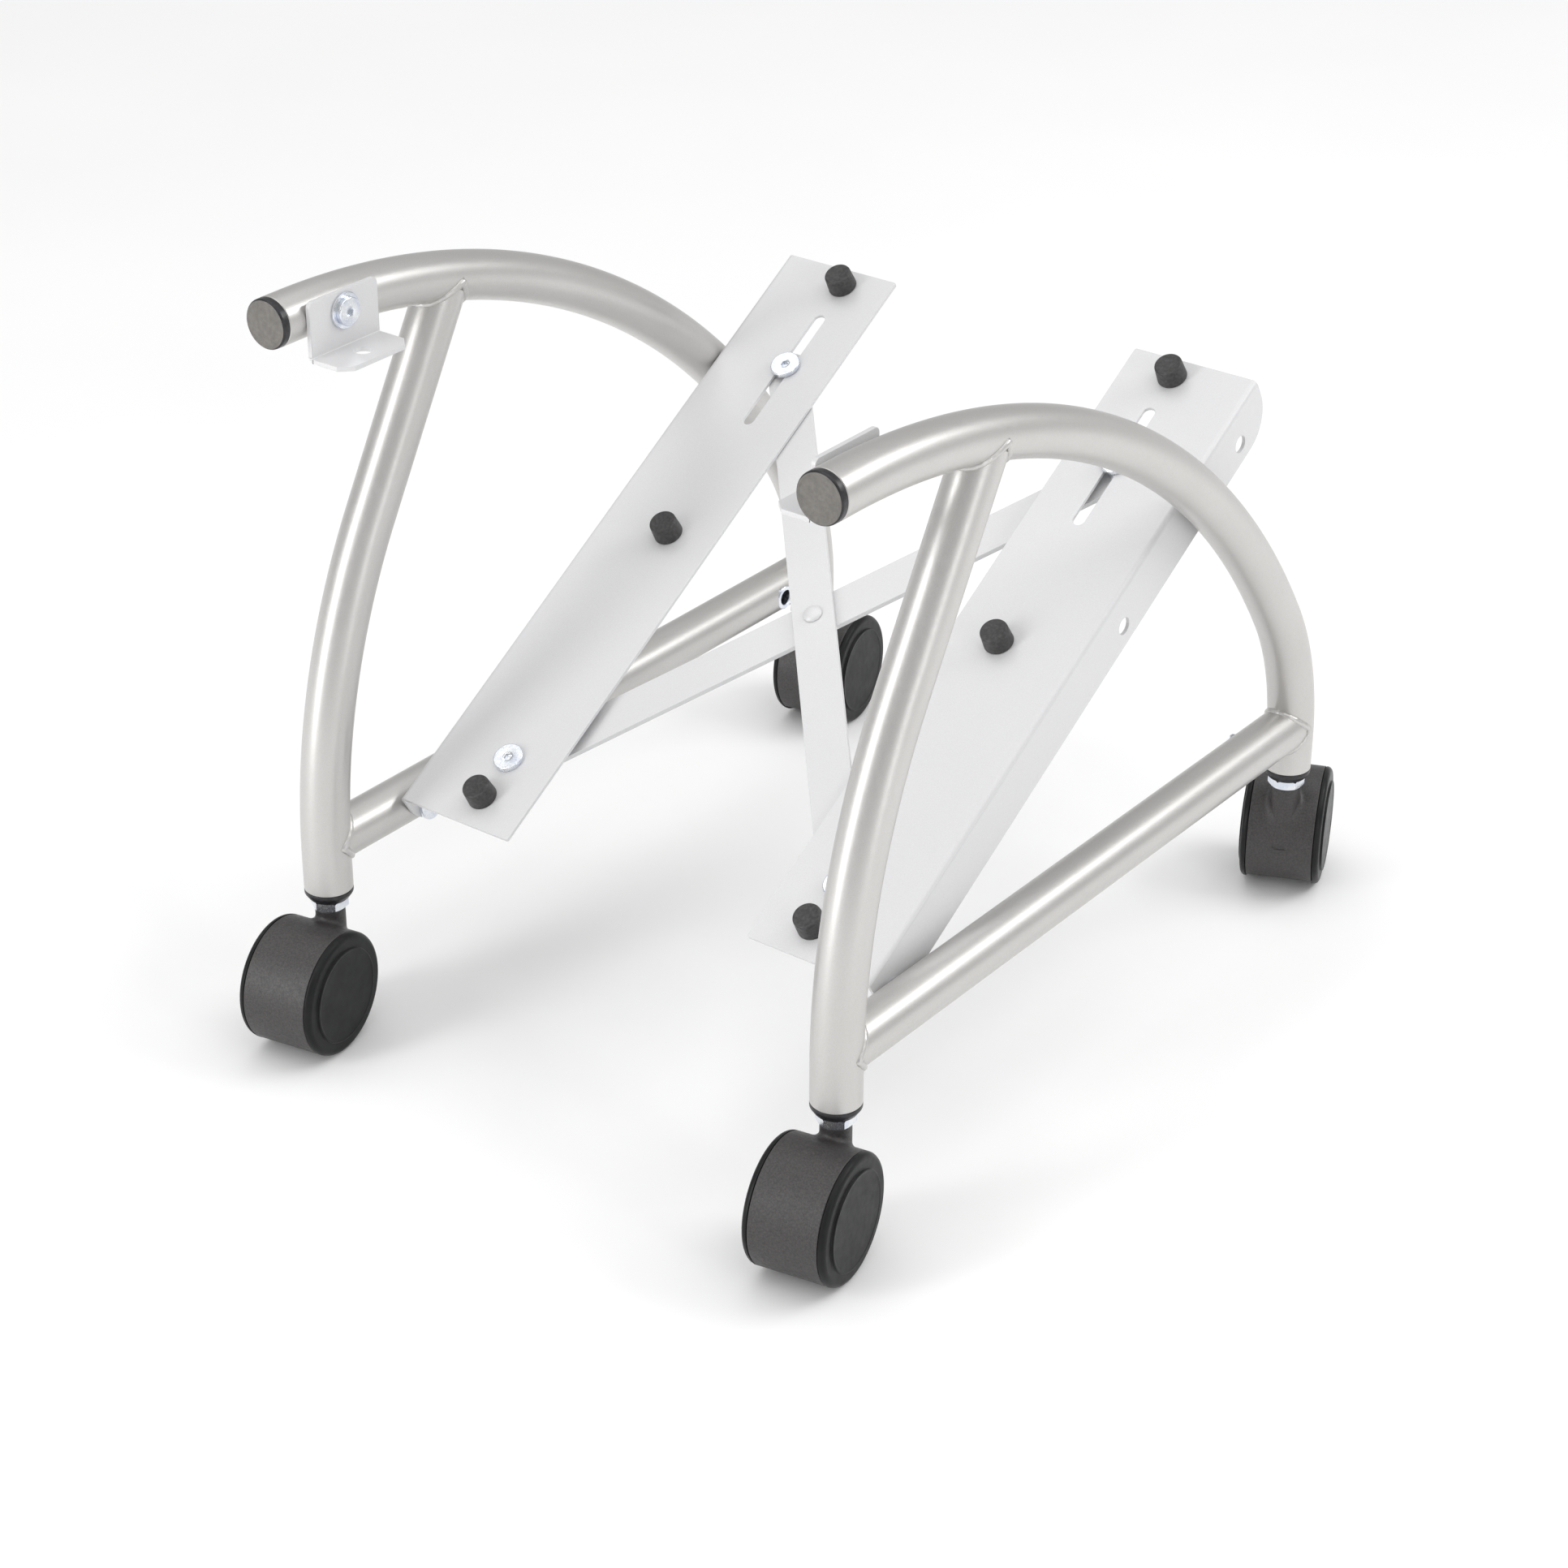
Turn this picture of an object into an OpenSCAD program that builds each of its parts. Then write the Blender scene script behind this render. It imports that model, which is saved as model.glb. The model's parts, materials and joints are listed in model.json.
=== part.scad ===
// Wheeled under-frame: two bent-tube side frames on hooded twin-wheel castors,
// joined by two tilted rails and a scissor brace that sets the width.
// X runs across the frame, Y from front to rear, Z up; the origin is on the floor
// under the middle of the frame.

/* [Side frames] */
// Distance between the tube centres of the two side frames
frame_w = 320; // [290:1:420]
// Distance between the front and the rear castor stems
wheel_base = 408; // [340:1:500]
// Height from the lower tube ends to the centre of the arch tube at its front end
frame_h = 308.5; // [256:0.5:370]
// Outer diameter of every tube
tube_d = 25; // [20.5:0.5:30]
// Wall of every tube
tube_wall = 1.5; // [1:0.1:2.5]
// How far the arch tube reaches in front of the front leg
nose = 13; // [8:1:30]
// Straight length at the front end of the arch tube
nose_straight = 11; // [4:1:40]
// Bend radius of the arch tube above the rear leg
rear_bend_r = 150; // [110:1:180]
// Straight length at the foot of the rear leg
rear_foot = 17; // [10:1:40]
// Straight length at the foot of the front leg
leg_foot = 20; // [10:1:40]
// Bend radius of the front leg
leg_bend_r = 343; // [280:1:410]
// Angle by which the front leg leans back at its top
leg_lean = 29.8; // [24:0.1:36]
// Height of the base tube's centre above the lower tube ends
base_up = 25.5; // [20:0.5:40]
// Distance of the spare hole in the base tube from the rear leg
spare_hole_y = 42; // [30:1:60]

/* [Rails] */
// Tilt of the rails above level
rail_tilt = 31; // [27:0.5:36]
// Length of a rail
rail_len = 380; // [370:1:456]
// Width of a rail's face
rail_w = 72; // [64:1:86]
// Depth of a rail's outer flange, measured from the top of its face
flange_h = 31; // [29:1:37]
// Sheet thickness of the rails
rail_t = 2; // [1.6:0.1:2.4]
// Radius of the rounded lower corners of the flange
flange_corner_r = 20; // [10:1:24]
// Distance of the rail's lower bolt from the front leg
rail_bolt_y = 61.5; // [50:0.5:73]
// Distance of the flange holes from the top of the face
flange_hole_drop = 20; // [17:0.5:22]
// Distance from the lower flange bolt to the rail's lower end
rail_tail = 11; // [10:0.5:20]
// Diameter of the flange holes
flange_hole_d = 9; // [8.4:0.1:10]
// Place of the lower spare flange hole, from the lower flange bolt
spare_low_s = 223; // [200:1:250]
// Place of the upper spare flange hole, from the lower flange bolt
spare_high_s = 343; // [335:1:345]

/* [Bumpers] */
// Diameter of a bumper at its foot
bumper_d = 15.5; // [12:0.5:18]
// Height of a bumper
bumper_h = 10; // [8:0.5:12]
// Distance of the first bumper from the rail's lower end
bumper_first = 17; // [12:1:18]
// Distance between bumpers
bumper_pitch = 176; // [165:1:178]
// Distance of the bumpers and pivots from the rail's outer edge
pivot_inset = 43.5; // [36:0.5:48]

/* [Scissor brace] */
// Distance of the pivot bolts from the lower flange bolt, along the rail
pivot_s = 30.5; // [28:0.5:36]
// Distance from the pivot bolts to the middle of the slots
slot_reach = 267; // [250:1:268]
// Length of the slots, end to end
slot_len = 78; // [66:1:92]
// Width of the slots
slot_w = 6.6; // [6.5:0.1:7.4]
// How far the slot bolts stand above the middle of the slots
slot_rest = 2; // [-6:1:10]
// Width of a scissor bar
bar_w = 22; // [18:1:26]
// Thickness of a scissor bar
bar_t = 3; // [2.5:0.1:3.6]

/* [Brackets] */
// Length of a bracket along the tube
bracket_len = 46; // [38:1:55]
// Width of a bracket's level flange
bracket_flange = 24; // [20:1:28]
// Height of a bracket below the tube's centre
bracket_drop = 20; // [17:1:24]
// Height of a bracket above the tube's centre
bracket_rise = 10; // [9.5:0.5:12]
// Sheet thickness of the brackets
bracket_t = 2.5; // [2:0.1:3]
// Diameter of the mounting hole in the bracket's flange
bracket_hole_d = 9; // [6:0.5:10.5]
// Distance of a bracket's front edge from the tube's front end
bracket_setback = 10; // [8:1:20]

/* [Castors] */
// Diameter of a castor wheel
wheel_d = 65; // [55:1:72]
// Width over a pair of wheels
castor_w = 45.5; // [41:0.5:53]
// Distance from the swivel axis to the wheel axle
castor_trail = 22.5; // [19:0.5:26]
// Height of the lower tube ends above the floor
castor_h = 79; // [76:1:94]
// Angle that the front castors are turned at rest
front_yaw = 10; // [0:1:30]
// Angle that the rear left castor is turned at rest
rear_left_yaw = 10; // [0:1:30]
// Angle that the rear right castor is turned at rest
rear_right_yaw = 23; // [0:1:30]
// Wall of the castor hood
hood_wall = 2.2; // [1.8:0.1:2.8]
// Height of the hood's lower edge above the floor
hood_lift = 9; // [7:1:12]
// Width of a wheel that stands out beside the hood
rim_w = 4.5; // [4:0.1:6]
// Diameter of the raised disc in a wheel's face
disc_d = 50; // [40:1:52]
// Diameter of the stem boss on the hood
boss_d = 15.4; // [14:0.2:16.4]
// Diameter of the swivel pin inside the boss
swivel_pin_d = 8; // [6.5:0.5:9]
// Diameter of the wheel axle
axle_d = 6; // [5:0.5:7]

/* [Fasteners] */
// Diameter of the bolts through the rail faces and brackets
bolt_d = 6; // [5:0.5:6]
// Diameter of the flat bolt heads
bolt_head_d = 16; // [14:0.5:18]
// Thickness of the flat bolt heads
bolt_head_h = 2.4; // [2:0.1:3]
// Diameter of the bolts between rails and tubes
frame_bolt_d = 8; // [6:0.5:8]
// Diameter of the threaded castor stem
stem_d = 10; // [8:0.5:11]
// Thickness of the stem nuts
stem_nut_h = 5.5; // [4:0.5:6]
// Height of the plug collar below a tube end
plug_collar_h = 5.5; // [4:0.5:6]

/* [Hidden] */
$fn = 64;

// Clearances
run_gap = 0.05;     // radial, between a turning part and its pin
touch_gap = 0.1;    // between a tube and the sheet that bears on it
slide_gap = 0.3;    // between faces that slide past each other
weld_gap = 0.05;    // round a tube, where another is coped to it

// Stretches of one tube lap a little, and every second one is this much thinner on each face
wall_step = 0.1;
join_lap = 1;
bend_fn = 240;

// Colours
silver = [0.77, 0.75, 0.73];
pale = [0.88, 0.88, 0.89];
zinc = [0.80, 0.83, 0.88];
black = [0.13, 0.13, 0.13];
charcoal = [0.24, 0.23, 0.23];

// Heights and places shared by the side frames
tube_r = tube_d / 2;
bore_r = tube_r - tube_wall;
side_x = frame_w / 2;
front_y = -wheel_base / 2;
rear_y = wheel_base / 2;
foot_z = castor_h;
arch_z = foot_z + frame_h;
base_z = foot_z + base_up;

// Arch tube: level nose, long arc, tighter arc, upright rear leg
arc_start_y = front_y - nose + nose_straight;
arc_run = rear_y - rear_bend_r - arc_start_y;
arc_rise = frame_h - rear_foot - rear_bend_r;
shoulder = 2 * atan(arc_rise / arc_run);
arch_r = rear_bend_r + arc_run / sin(shoulder);
arch_c = [arc_start_y, arch_z - arch_r];
rear_bend_c = [rear_y - rear_bend_r, foot_z + rear_foot];

// Front leg: upright foot, arc, straight up to the arch tube's centre line
leg_c = [front_y + leg_bend_r, foot_z + leg_foot];
leg_p = leg_c + leg_bend_r * [-cos(leg_lean), sin(leg_lean)];
leg_dir = [sin(leg_lean), cos(leg_lean)];
leg_top = reach_to_arch(leg_p, leg_dir);

// Rail frame: origin at the lower flange bolt, s along the rail, n up from it
rail_p = [front_y + rail_bolt_y, base_z];
rail_dir = [cos(rail_tilt), sin(rail_tilt)];
arch_bolt_s = reach_to_arch(rail_p, rail_dir);
rail_x = side_x - tube_r - touch_gap;        // outer edge of the rail
pivot_x = rail_x - pivot_inset;
face_n = flange_hole_drop;
bend_r = 3;
bumper_s = [for (i = [0:2]) bumper_first - rail_tail + i * bumper_pitch];

// Scissor brace: bar A lies under the faces, bar B under bar A
slot_s = pivot_s + slot_reach;
slot_bolt_s = slot_s + slot_rest;
bar_dx = 2 * pivot_x;
bar_ds = slot_bolt_s - pivot_s;
bar_len = norm([bar_dx, bar_ds]);
bar_angle = atan2(bar_ds, bar_dx);
bar_a_n = face_n - rail_t - slide_gap - bar_t;
bar_b_n = bar_a_n - slide_gap - bar_t;
nut_h = 6;
nut_af = 10;
spacer_d = 12;
rivet_head_d = 10;
rivet_head_h = 2;
socket_af = 4;
bolt_tip = 1;

// Castor, seen from its swivel axis
wheel_r = wheel_d / 2;
boss_top = castor_h - plug_collar_h - stem_nut_h;
pin_len = 27;
boss_floor = 3;
hood_half_w = castor_w / 2 - rim_w - slide_gap;
web_t = 3;
hub_r = axle_d / 2 + 2.5;
tread_r = wheel_r - hood_wall - 0.8;
rim_wall = 3.5;
disc_t = 3;
disc_step = 1.2;
plug_insert = 18;
cap_insert = 12;
cap_h = 4.5;
nut_corner = 1.155;

// Distance from a point inside the arch to the arch tube's centre line
function reach_to_arch(p, d) =
    let (v = p - arch_c, b = v * d) -b + sqrt(b * b - v * v + arch_r * arch_r);

// Places the right-hand shape on the right (1) or mirrors it to the left (-1)
module on_side(side) {
    if (side < 0) mirror([1, 0, 0]) children();
    else children();
}

// Turns a shape drawn in local X, Y to stand in the side plane, Y and Z
module in_side_plane(x = side_x) {
    translate([x, 0, 0]) rotate([90, 0, 90]) children();
}

// The wall of a tube in section; every second stretch of a tube has thin = 1
module tube_section(thin = 0) {
    difference() {
        circle(r = tube_r - thin * wall_step);
        circle(r = bore_r + thin * wall_step);
    }
}

// What a stretch of tube takes out of another tube that is coped to it
module cope_section(thin = 0) {
    circle(r = tube_r - thin * wall_step + weld_gap);
}

// A bend, drawn in the side plane, with its section as the child
module bend(centre, r_bend, a_from, a_sweep) {
    translate([centre[0], centre[1], 0]) rotate([0, 0, a_from])
        rotate_extrude(angle = a_sweep, $fn = bend_fn) translate([r_bend, 0]) children();
}

// A bend that runs on a little into the straight or bend at its high end
module lapped_bend(centre, r_bend, a_from, a_sweep) {
    bend(centre, r_bend, a_from, a_sweep + join_lap / r_bend * 180 / PI) children();
}

// A straight run, drawn in the side plane, with its section as the child
module run(p, angle, length) {
    translate([p[0], p[1], 0]) rotate([0, 0, angle]) rotate([0, 90, 0])
        linear_extrude(length) children();
}

// A pin or hole along X, centred on a point of the side plane
module cross_pin(p, x_from, x_to, r) {
    translate([x_from, p[0], p[1]]) rotate([0, 90, 0])
        cylinder(h = x_to - x_from, r = r);
}

// Stretches of the arch tube, from its front end to its foot
module arch_nose() {
    run([front_y - nose, arch_z], 0, nose_straight) children();
}

module arch_bend() {
    lapped_bend(arch_c, arch_r, 90 - shoulder, shoulder) children();
}

module rear_bend() {
    lapped_bend(rear_bend_c, rear_bend_r, 0, 90 - shoulder) children();
}

module rear_foot_run() {
    run([rear_y, foot_z], 90, rear_foot + join_lap) children();
}

// Stretches of the front leg, from its foot up
module leg_foot_run() {
    run([front_y, foot_z], 90, leg_foot + join_lap) children();
}

module leg_bend() {
    bend(leg_c, leg_bend_r, 180 - leg_lean, leg_lean) children();
}

// Centre of the bolt that holds the bracket to the arch tube
bracket_y = front_y - nose + bracket_setback + bracket_len / 2;
bracket_bolt_p = [bracket_y, arch_height(bracket_y)];
arch_bolt_p = rail_p + arch_bolt_s * rail_dir;
spare_p = [rear_y - spare_hole_y, base_z];

// Height of the arch tube's centre line over a point of the long arc
function arch_height(y) =
    y < arc_start_y ? arch_z : arch_c[1] + sqrt(pow(arch_r, 2) - pow(y - arc_start_y, 2));

module inner_wall_hole(p, r) {
    cross_pin(p, side_x - tube_d, side_x, r);
}

insert_r = frame_bolt_d / 2 + 1.5;
small_insert_r = bolt_d / 2 + 1.5;

module arch_tube(side) {
    color(silver) on_side(side) difference() {
        in_side_plane() {
            arch_nose() tube_section();
            arch_bend() tube_section(1);
            rear_bend() tube_section();
            rear_foot_run() tube_section(1);
        }
        inner_wall_hole(arch_bolt_p, insert_r);
        inner_wall_hole(bracket_bolt_p, small_insert_r);
    }
}

// Everything on the far side of the arch tube's centre line
module beyond_arch() {
    translate([arch_c[0], arch_c[1], -tube_d]) difference() {
        cylinder(h = 2 * tube_d, r = arch_r + 2 * tube_d, $fn = bend_fn);
        cylinder(h = 2 * tube_d, r = arch_r, $fn = bend_fn);
    }
}

// The front leg, coped to fit under the arch tube
module front_leg(side) {
    color(silver) on_side(side) in_side_plane() {
        leg_foot_run() tube_section(1);
        leg_bend() tube_section();
        difference() {
            run(leg_p - join_lap * leg_dir, 90 - leg_lean, leg_top + join_lap + tube_r)
                tube_section(1);
            beyond_arch();
            arch_bend() cope_section(1);
        }
    }
}

// The base tube, coped to fit between the two legs
module base_tube(side) {
    color(silver) on_side(side) difference() {
        in_side_plane() difference() {
            run([front_y, base_z], 0, wheel_base) tube_section();
            leg_foot_run() cope_section(1);
            leg_bend() cope_section();
            rear_foot_run() cope_section(1);
            rear_bend() cope_section();
        }
        inner_wall_hole(rail_p, insert_r);
        inner_wall_hole(spare_p, insert_r);
    }
}

// Push-in plug at the front end of the arch tube
module tube_cap(side) {
    color(charcoal) on_side(side) in_side_plane()
        translate([front_y - nose, arch_z, 0]) rotate([0, 90, 0]) {
            cylinder(h = cap_insert, r = bore_r);
            translate([0, 0, -cap_h + 1]) cylinder(h = cap_h - 1, r = tube_r);
            translate([0, 0, -cap_h]) cylinder(h = 1, r1 = tube_r - 1, r2 = tube_r);
        }
}

// Plastic plugs with the stem bore, in the lower tube ends
module leg_plugs(side) {
    color(black) on_side(side) for (y = [front_y, rear_y])
        translate([side_x, y, foot_z]) difference() {
            union() {
                cylinder(h = plug_insert, r = bore_r + wall_step);
                translate([0, 0, -2]) cylinder(h = 2, r = tube_r);
                translate([0, 0, -plug_collar_h])
                    cylinder(h = plug_collar_h - 2, r1 = tube_r - 2, r2 = tube_r);
            }
            translate([0, 0, -plug_collar_h - 1])
                cylinder(h = plug_insert + plug_collar_h + 2, r = stem_d / 2);
        }
}

module hex_nut(af, h, hole_r) {
    difference() {
        cylinder(h = h, r = af / 2 * nut_corner, $fn = 6);
        translate([0, 0, -1]) cylinder(h = h + 2, r = hole_r);
    }
}

module stem_nuts(side) {
    color(zinc) on_side(side) for (y = [front_y, rear_y])
        translate([side_x, y, boss_top]) hex_nut(stem_d * 1.7, stem_nut_h, stem_d / 2);
}

// Threaded inserts in the tube's inner wall, for the rail and bracket bolts
module thread_insert(p, r, hole_r) {
    depth = 10;
    difference() {
        cross_pin(p, side_x - tube_r + touch_gap, side_x - tube_r + depth, r);
        cross_pin(p, side_x - tube_d, side_x, hole_r);
    }
}

module thread_inserts(side) {
    color(zinc) on_side(side) {
        thread_insert(rail_p, insert_r, frame_bolt_d / 2);
        thread_insert(spare_p, insert_r, frame_bolt_d / 2);
        thread_insert(arch_bolt_p, insert_r, frame_bolt_d / 2);
        thread_insert(bracket_bolt_p, small_insert_r, bolt_d / 2);
    }
}

// Puts a shape drawn as X across, Y along the rail and Z off its face into place
module on_rail() {
    translate([0, rail_p[0], rail_p[1]]) rotate([rail_tilt, 0, 0]) children();
}

module rail_section() {
    difference() {
        translate([rail_x - rail_w, face_n - flange_h]) square([rail_w, flange_h]);
        translate([rail_x - rail_w - 1, face_n - flange_h - 1])
            square([rail_w + 1 - bend_r, flange_h + 1 - rail_t]);
        translate([rail_x - bend_r - 1, face_n - flange_h - 1])
            square([bend_r + 1 - rail_t, flange_h + 1 - bend_r]);
        translate([rail_x - bend_r, face_n - bend_r]) difference() {
            square(bend_r + 1);
            circle(r = bend_r);
        }
        translate([rail_x - bend_r, face_n - bend_r]) circle(r = bend_r - rail_t);
    }
}

// Cuts the flange's lower corner round, at the low end (-1) or the high end (1)
module flange_corner(end) {
    s = end < 0 ? -rail_tail : rail_len - rail_tail;
    translate([rail_x - rail_t - 1, s - end * flange_corner_r, face_n - flange_h + flange_corner_r])
        rotate([90, 0, 90]) linear_extrude(rail_t + 2) difference() {
            translate([end < 0 ? -flange_corner_r - 1 : 0, -flange_corner_r - 1])
                square(flange_corner_r + 1);
            circle(r = flange_corner_r);
        }
}

module face_hole(s, r) {
    translate([pivot_x, s, face_n - rail_t - 1]) cylinder(h = rail_t + 2, r = r);
}

module face_slot() {
    straight = slot_len - slot_w;
    for (s = [slot_s - straight / 2, slot_s + straight / 2]) face_hole(s, slot_w / 2);
    translate([pivot_x - slot_w / 2, slot_s - straight / 2, face_n - rail_t - 1])
        cube([slot_w, straight, rail_t + 2]);
}

bumper_neck_r = 3;

module rail(side) {
    color(pale) on_side(side) on_rail() difference() {
        translate([0, rail_len - rail_tail, 0]) rotate([90, 0, 0])
            linear_extrude(rail_len) rail_section();
        for (end = [-1, 1]) flange_corner(end);
        for (s = [0, arch_bolt_s, spare_low_s, spare_high_s])
            translate([rail_x - rail_t - 1, s, 0]) rotate([0, 90, 0])
                cylinder(h = rail_t + 2, r = flange_hole_d / 2);
        face_hole(pivot_s, bolt_d / 2);
        for (s = bumper_s) face_hole(s, bumper_neck_r);
        face_slot();
    }
}

// Rubber bumpers, each pushed through its hole in the face
module bumpers(side) {
    edge = 1.2;
    barb_h = 2;
    color(black) on_side(side) on_rail() for (s = bumper_s)
        translate([pivot_x, s, face_n]) {
            cylinder(h = bumper_h - edge, r1 = bumper_d / 2, r2 = bumper_d / 2 - 0.5);
            translate([0, 0, bumper_h - edge])
                cylinder(h = edge, r1 = bumper_d / 2 - 0.5, r2 = bumper_d / 2 - 0.5 - edge);
            translate([0, 0, -rail_t]) cylinder(h = rail_t, r = bumper_neck_r);
            translate([0, 0, -rail_t - barb_h])
                cylinder(h = barb_h, r1 = bumper_neck_r - 0.5, r2 = bumper_neck_r + 1);
        }
}

// Bolt with a flat round head and a hexagon socket; the head sits on z = 0
module flat_bolt(d, head_d, head_h, shank) {
    chamfer = 0.4;
    difference() {
        union() {
            cylinder(h = head_h - chamfer, r = head_d / 2);
            translate([0, 0, head_h - chamfer])
                cylinder(h = chamfer, r1 = head_d / 2, r2 = head_d / 2 - chamfer);
            translate([0, 0, -shank]) cylinder(h = shank, r = d / 2);
        }
        translate([0, 0, head_h - socket_af * 0.6])
            cylinder(h = socket_af, r = socket_af / 2 * nut_corner, $fn = 6);
    }
}

// Bolts through the flange into the tube's threaded inserts
module rail_bolts(side) {
    color(zinc) on_side(side) on_rail() for (s = [0, arch_bolt_s])
        translate([rail_x - rail_t, s, 0]) rotate([0, -90, 0])
            flat_bolt(frame_bolt_d, bolt_head_d, bolt_head_h, rail_t + touch_gap + 10);
}

bracket_x = side_x - tube_r - touch_gap;
bracket_z = bracket_bolt_p[1] - bracket_drop;

module bracket_outline() {
    corner = 3;
    chamfer = 6;
    y0 = bracket_y - bracket_len / 2;
    difference() {
        translate([bracket_x - bracket_flange, y0, bracket_z])
            cube([bracket_flange, bracket_len, bracket_drop + bracket_rise]);
        translate([bracket_x - bracket_flange - 1, y0 - 1, bracket_z + bracket_t])
            cube([bracket_flange + 1 - bracket_t, bracket_len + 2, bracket_drop + bracket_rise]);
        for (y = [y0, y0 + bracket_len])
            translate([bracket_x - bracket_flange, y, bracket_z - 1]) rotate([0, 0, 45])
                translate([-chamfer / sqrt(2), -chamfer / sqrt(2), 0])
                    cube([chamfer * sqrt(2), chamfer * sqrt(2), bracket_t + 2]);
        for (end = [-1, 1])
            translate([bracket_x - bracket_t - 1, bracket_y + end * (bracket_len / 2 - corner),
                       bracket_z + bracket_drop + bracket_rise - corner])
                rotate([90, 0, 90]) linear_extrude(bracket_t + 2) difference() {
                    translate([end < 0 ? -corner - 1 : 0, 0]) square(corner + 1);
                    circle(r = corner);
                }
    }
}

bracket_hole_x = bracket_x - bracket_t - (bracket_flange - bracket_t) / 2;

module bracket(side) {
    color(pale) on_side(side) difference() {
        bracket_outline();
        cross_pin(bracket_bolt_p, bracket_x - bracket_t - 1, bracket_x + 1, bolt_d / 2 + 0.3);
        translate([bracket_hole_x, bracket_y, bracket_z - 1])
            cylinder(h = bracket_t + 2, r = bracket_hole_d / 2);
    }
}

washer_t = 1.6;

module bracket_washer(side) {
    color(zinc) on_side(side) difference() {
        cross_pin(bracket_bolt_p, bracket_x - bracket_t - washer_t, bracket_x - bracket_t,
                  bolt_head_d / 2 + 1);
        cross_pin(bracket_bolt_p, bracket_x - bracket_t - washer_t - 1, bracket_x,
                  bolt_d / 2 + 0.2);
    }
}

module bracket_bolt(side) {
    x = bracket_x - bracket_t - washer_t;
    color(zinc) on_side(side) translate([x, bracket_bolt_p[0], bracket_bolt_p[1]])
        rotate([0, -90, 0])
            flat_bolt(bolt_d, bolt_head_d - 2, bolt_head_h, washer_t + bracket_t + touch_gap + 10);
}

// Flat bar between two pivots, with a rivet hole in its middle
module scissor_bar(n, angle, run_hole, fixed_hole, rivet_r) {
    translate([0, pivot_s + bar_ds / 2, n]) rotate([0, 0, angle]) difference() {
        union() {
            translate([-bar_len / 2, -bar_w / 2, 0]) cube([bar_len, bar_w, bar_t]);
            for (x = [-1, 1]) translate([x * bar_len / 2, 0, 0]) cylinder(h = bar_t, r = bar_w / 2);
        }
        translate([run_hole * bar_len / 2, 0, -1])
            cylinder(h = bar_t + 2, r = bolt_d / 2 + run_gap);
        translate([fixed_hole * bar_len / 2, 0, -1]) cylinder(h = bar_t + 2, r = bolt_d / 2);
        translate([0, 0, -1]) cylinder(h = bar_t + 2, r = rivet_r);
    }
}

module scissor_bar_a() {
    color(pale) on_rail() scissor_bar(bar_a_n, -bar_angle, 1, -1, bolt_d / 2 + run_gap);
}

module scissor_bar_b() {
    color(pale) on_rail() scissor_bar(bar_b_n, bar_angle, -1, 1, bolt_d / 2);
}

module scissor_rivet() {
    top = bar_a_n + bar_t + slide_gap;
    color(zinc) on_rail() translate([0, pivot_s + bar_ds / 2, 0]) {
        translate([0, 0, bar_b_n]) cylinder(h = top - bar_b_n, r = bolt_d / 2);
        translate([0, 0, top])
            cylinder(h = rivet_head_h, r1 = rivet_head_d / 2, r2 = rivet_head_d / 2 - 1.5);
        translate([0, 0, bar_b_n - rivet_head_h])
            cylinder(h = rivet_head_h, r1 = rivet_head_d / 2 - 1.5, r2 = rivet_head_d / 2);
    }
}

// Bolt standing in the rail face: head seat, and length down to the nut's underside
module face_bolt(side, s, seat_n, nut_n) {
    color(zinc) on_side(side) on_rail() translate([pivot_x, s, seat_n])
        flat_bolt(bolt_d, bolt_head_d, bolt_head_h, seat_n - nut_n + nut_h + bolt_tip);
}

module face_nut(side, s, nut_n) {
    color(zinc) on_side(side) on_rail() translate([pivot_x, s, nut_n - nut_h])
        hex_nut(nut_af, nut_h, bolt_d / 2);
}

module face_spacer(side, s, n_from, n_to) {
    color(zinc) on_side(side) on_rail() translate([pivot_x, s, n_from]) difference() {
        cylinder(h = n_to - n_from, r = spacer_d / 2);
        translate([0, 0, -1]) cylinder(h = n_to - n_from + 2, r = bolt_d / 2);
    }
}

// Puts a castor part in place: side -1 left, 1 right; end -1 front, 1 rear
module at_castor(side, end) {
    translate([side * side_x, end * wheel_base / 2, 0])
        rotate([0, 0, end < 0 ? front_yaw : 180 + (side < 0 ? rear_left_yaw : rear_right_yaw)]) children();
}

module across(x_from, x_to, r, r2 = -1) {
    translate([x_from, -castor_trail, wheel_r]) rotate([0, 90, 0])
        cylinder(h = x_to - x_from, r1 = r, r2 = r2 < 0 ? r : r2);
}

module castor_stem(side, end) {
    color(zinc) at_castor(side, end) {
        translate([0, 0, boss_top])
            cylinder(h = castor_h - boss_top + plug_insert - 2, r = stem_d / 2);
        translate([0, 0, boss_top - pin_len]) cylinder(h = pin_len, r = swivel_pin_d / 2);
    }
}

module castor_hood(side, end) {
    color(charcoal) at_castor(side, end) difference() {
        union() {
            difference() {
                across(-hood_half_w, hood_half_w, wheel_r);
                across(-hood_half_w - 1, -web_t / 2, wheel_r - hood_wall);
                across(web_t / 2, hood_half_w + 1, wheel_r - hood_wall);
            }
            across(-web_t / 2 - 1, web_t / 2 + 1, hub_r);
            translate([0, 0, boss_top - slide_gap - pin_len - boss_floor])
                cylinder(h = pin_len + boss_floor, r = boss_d / 2);
        }
        translate([-castor_w, -castor_trail - wheel_d, -1])
            cube([2 * castor_w, 2 * wheel_d, hood_lift + 1]);
        translate([0, 0, boss_top - pin_len - slide_gap])
            cylinder(h = pin_len + 1, r = swivel_pin_d / 2 + run_gap);
        across(-castor_w, castor_w, axle_d / 2);
    }
}

module castor_axle(side, end) {
    half = castor_w / 2 - disc_step - disc_t - slide_gap;
    color(zinc) at_castor(side, end) across(-half, half, axle_d / 2);
}

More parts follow.
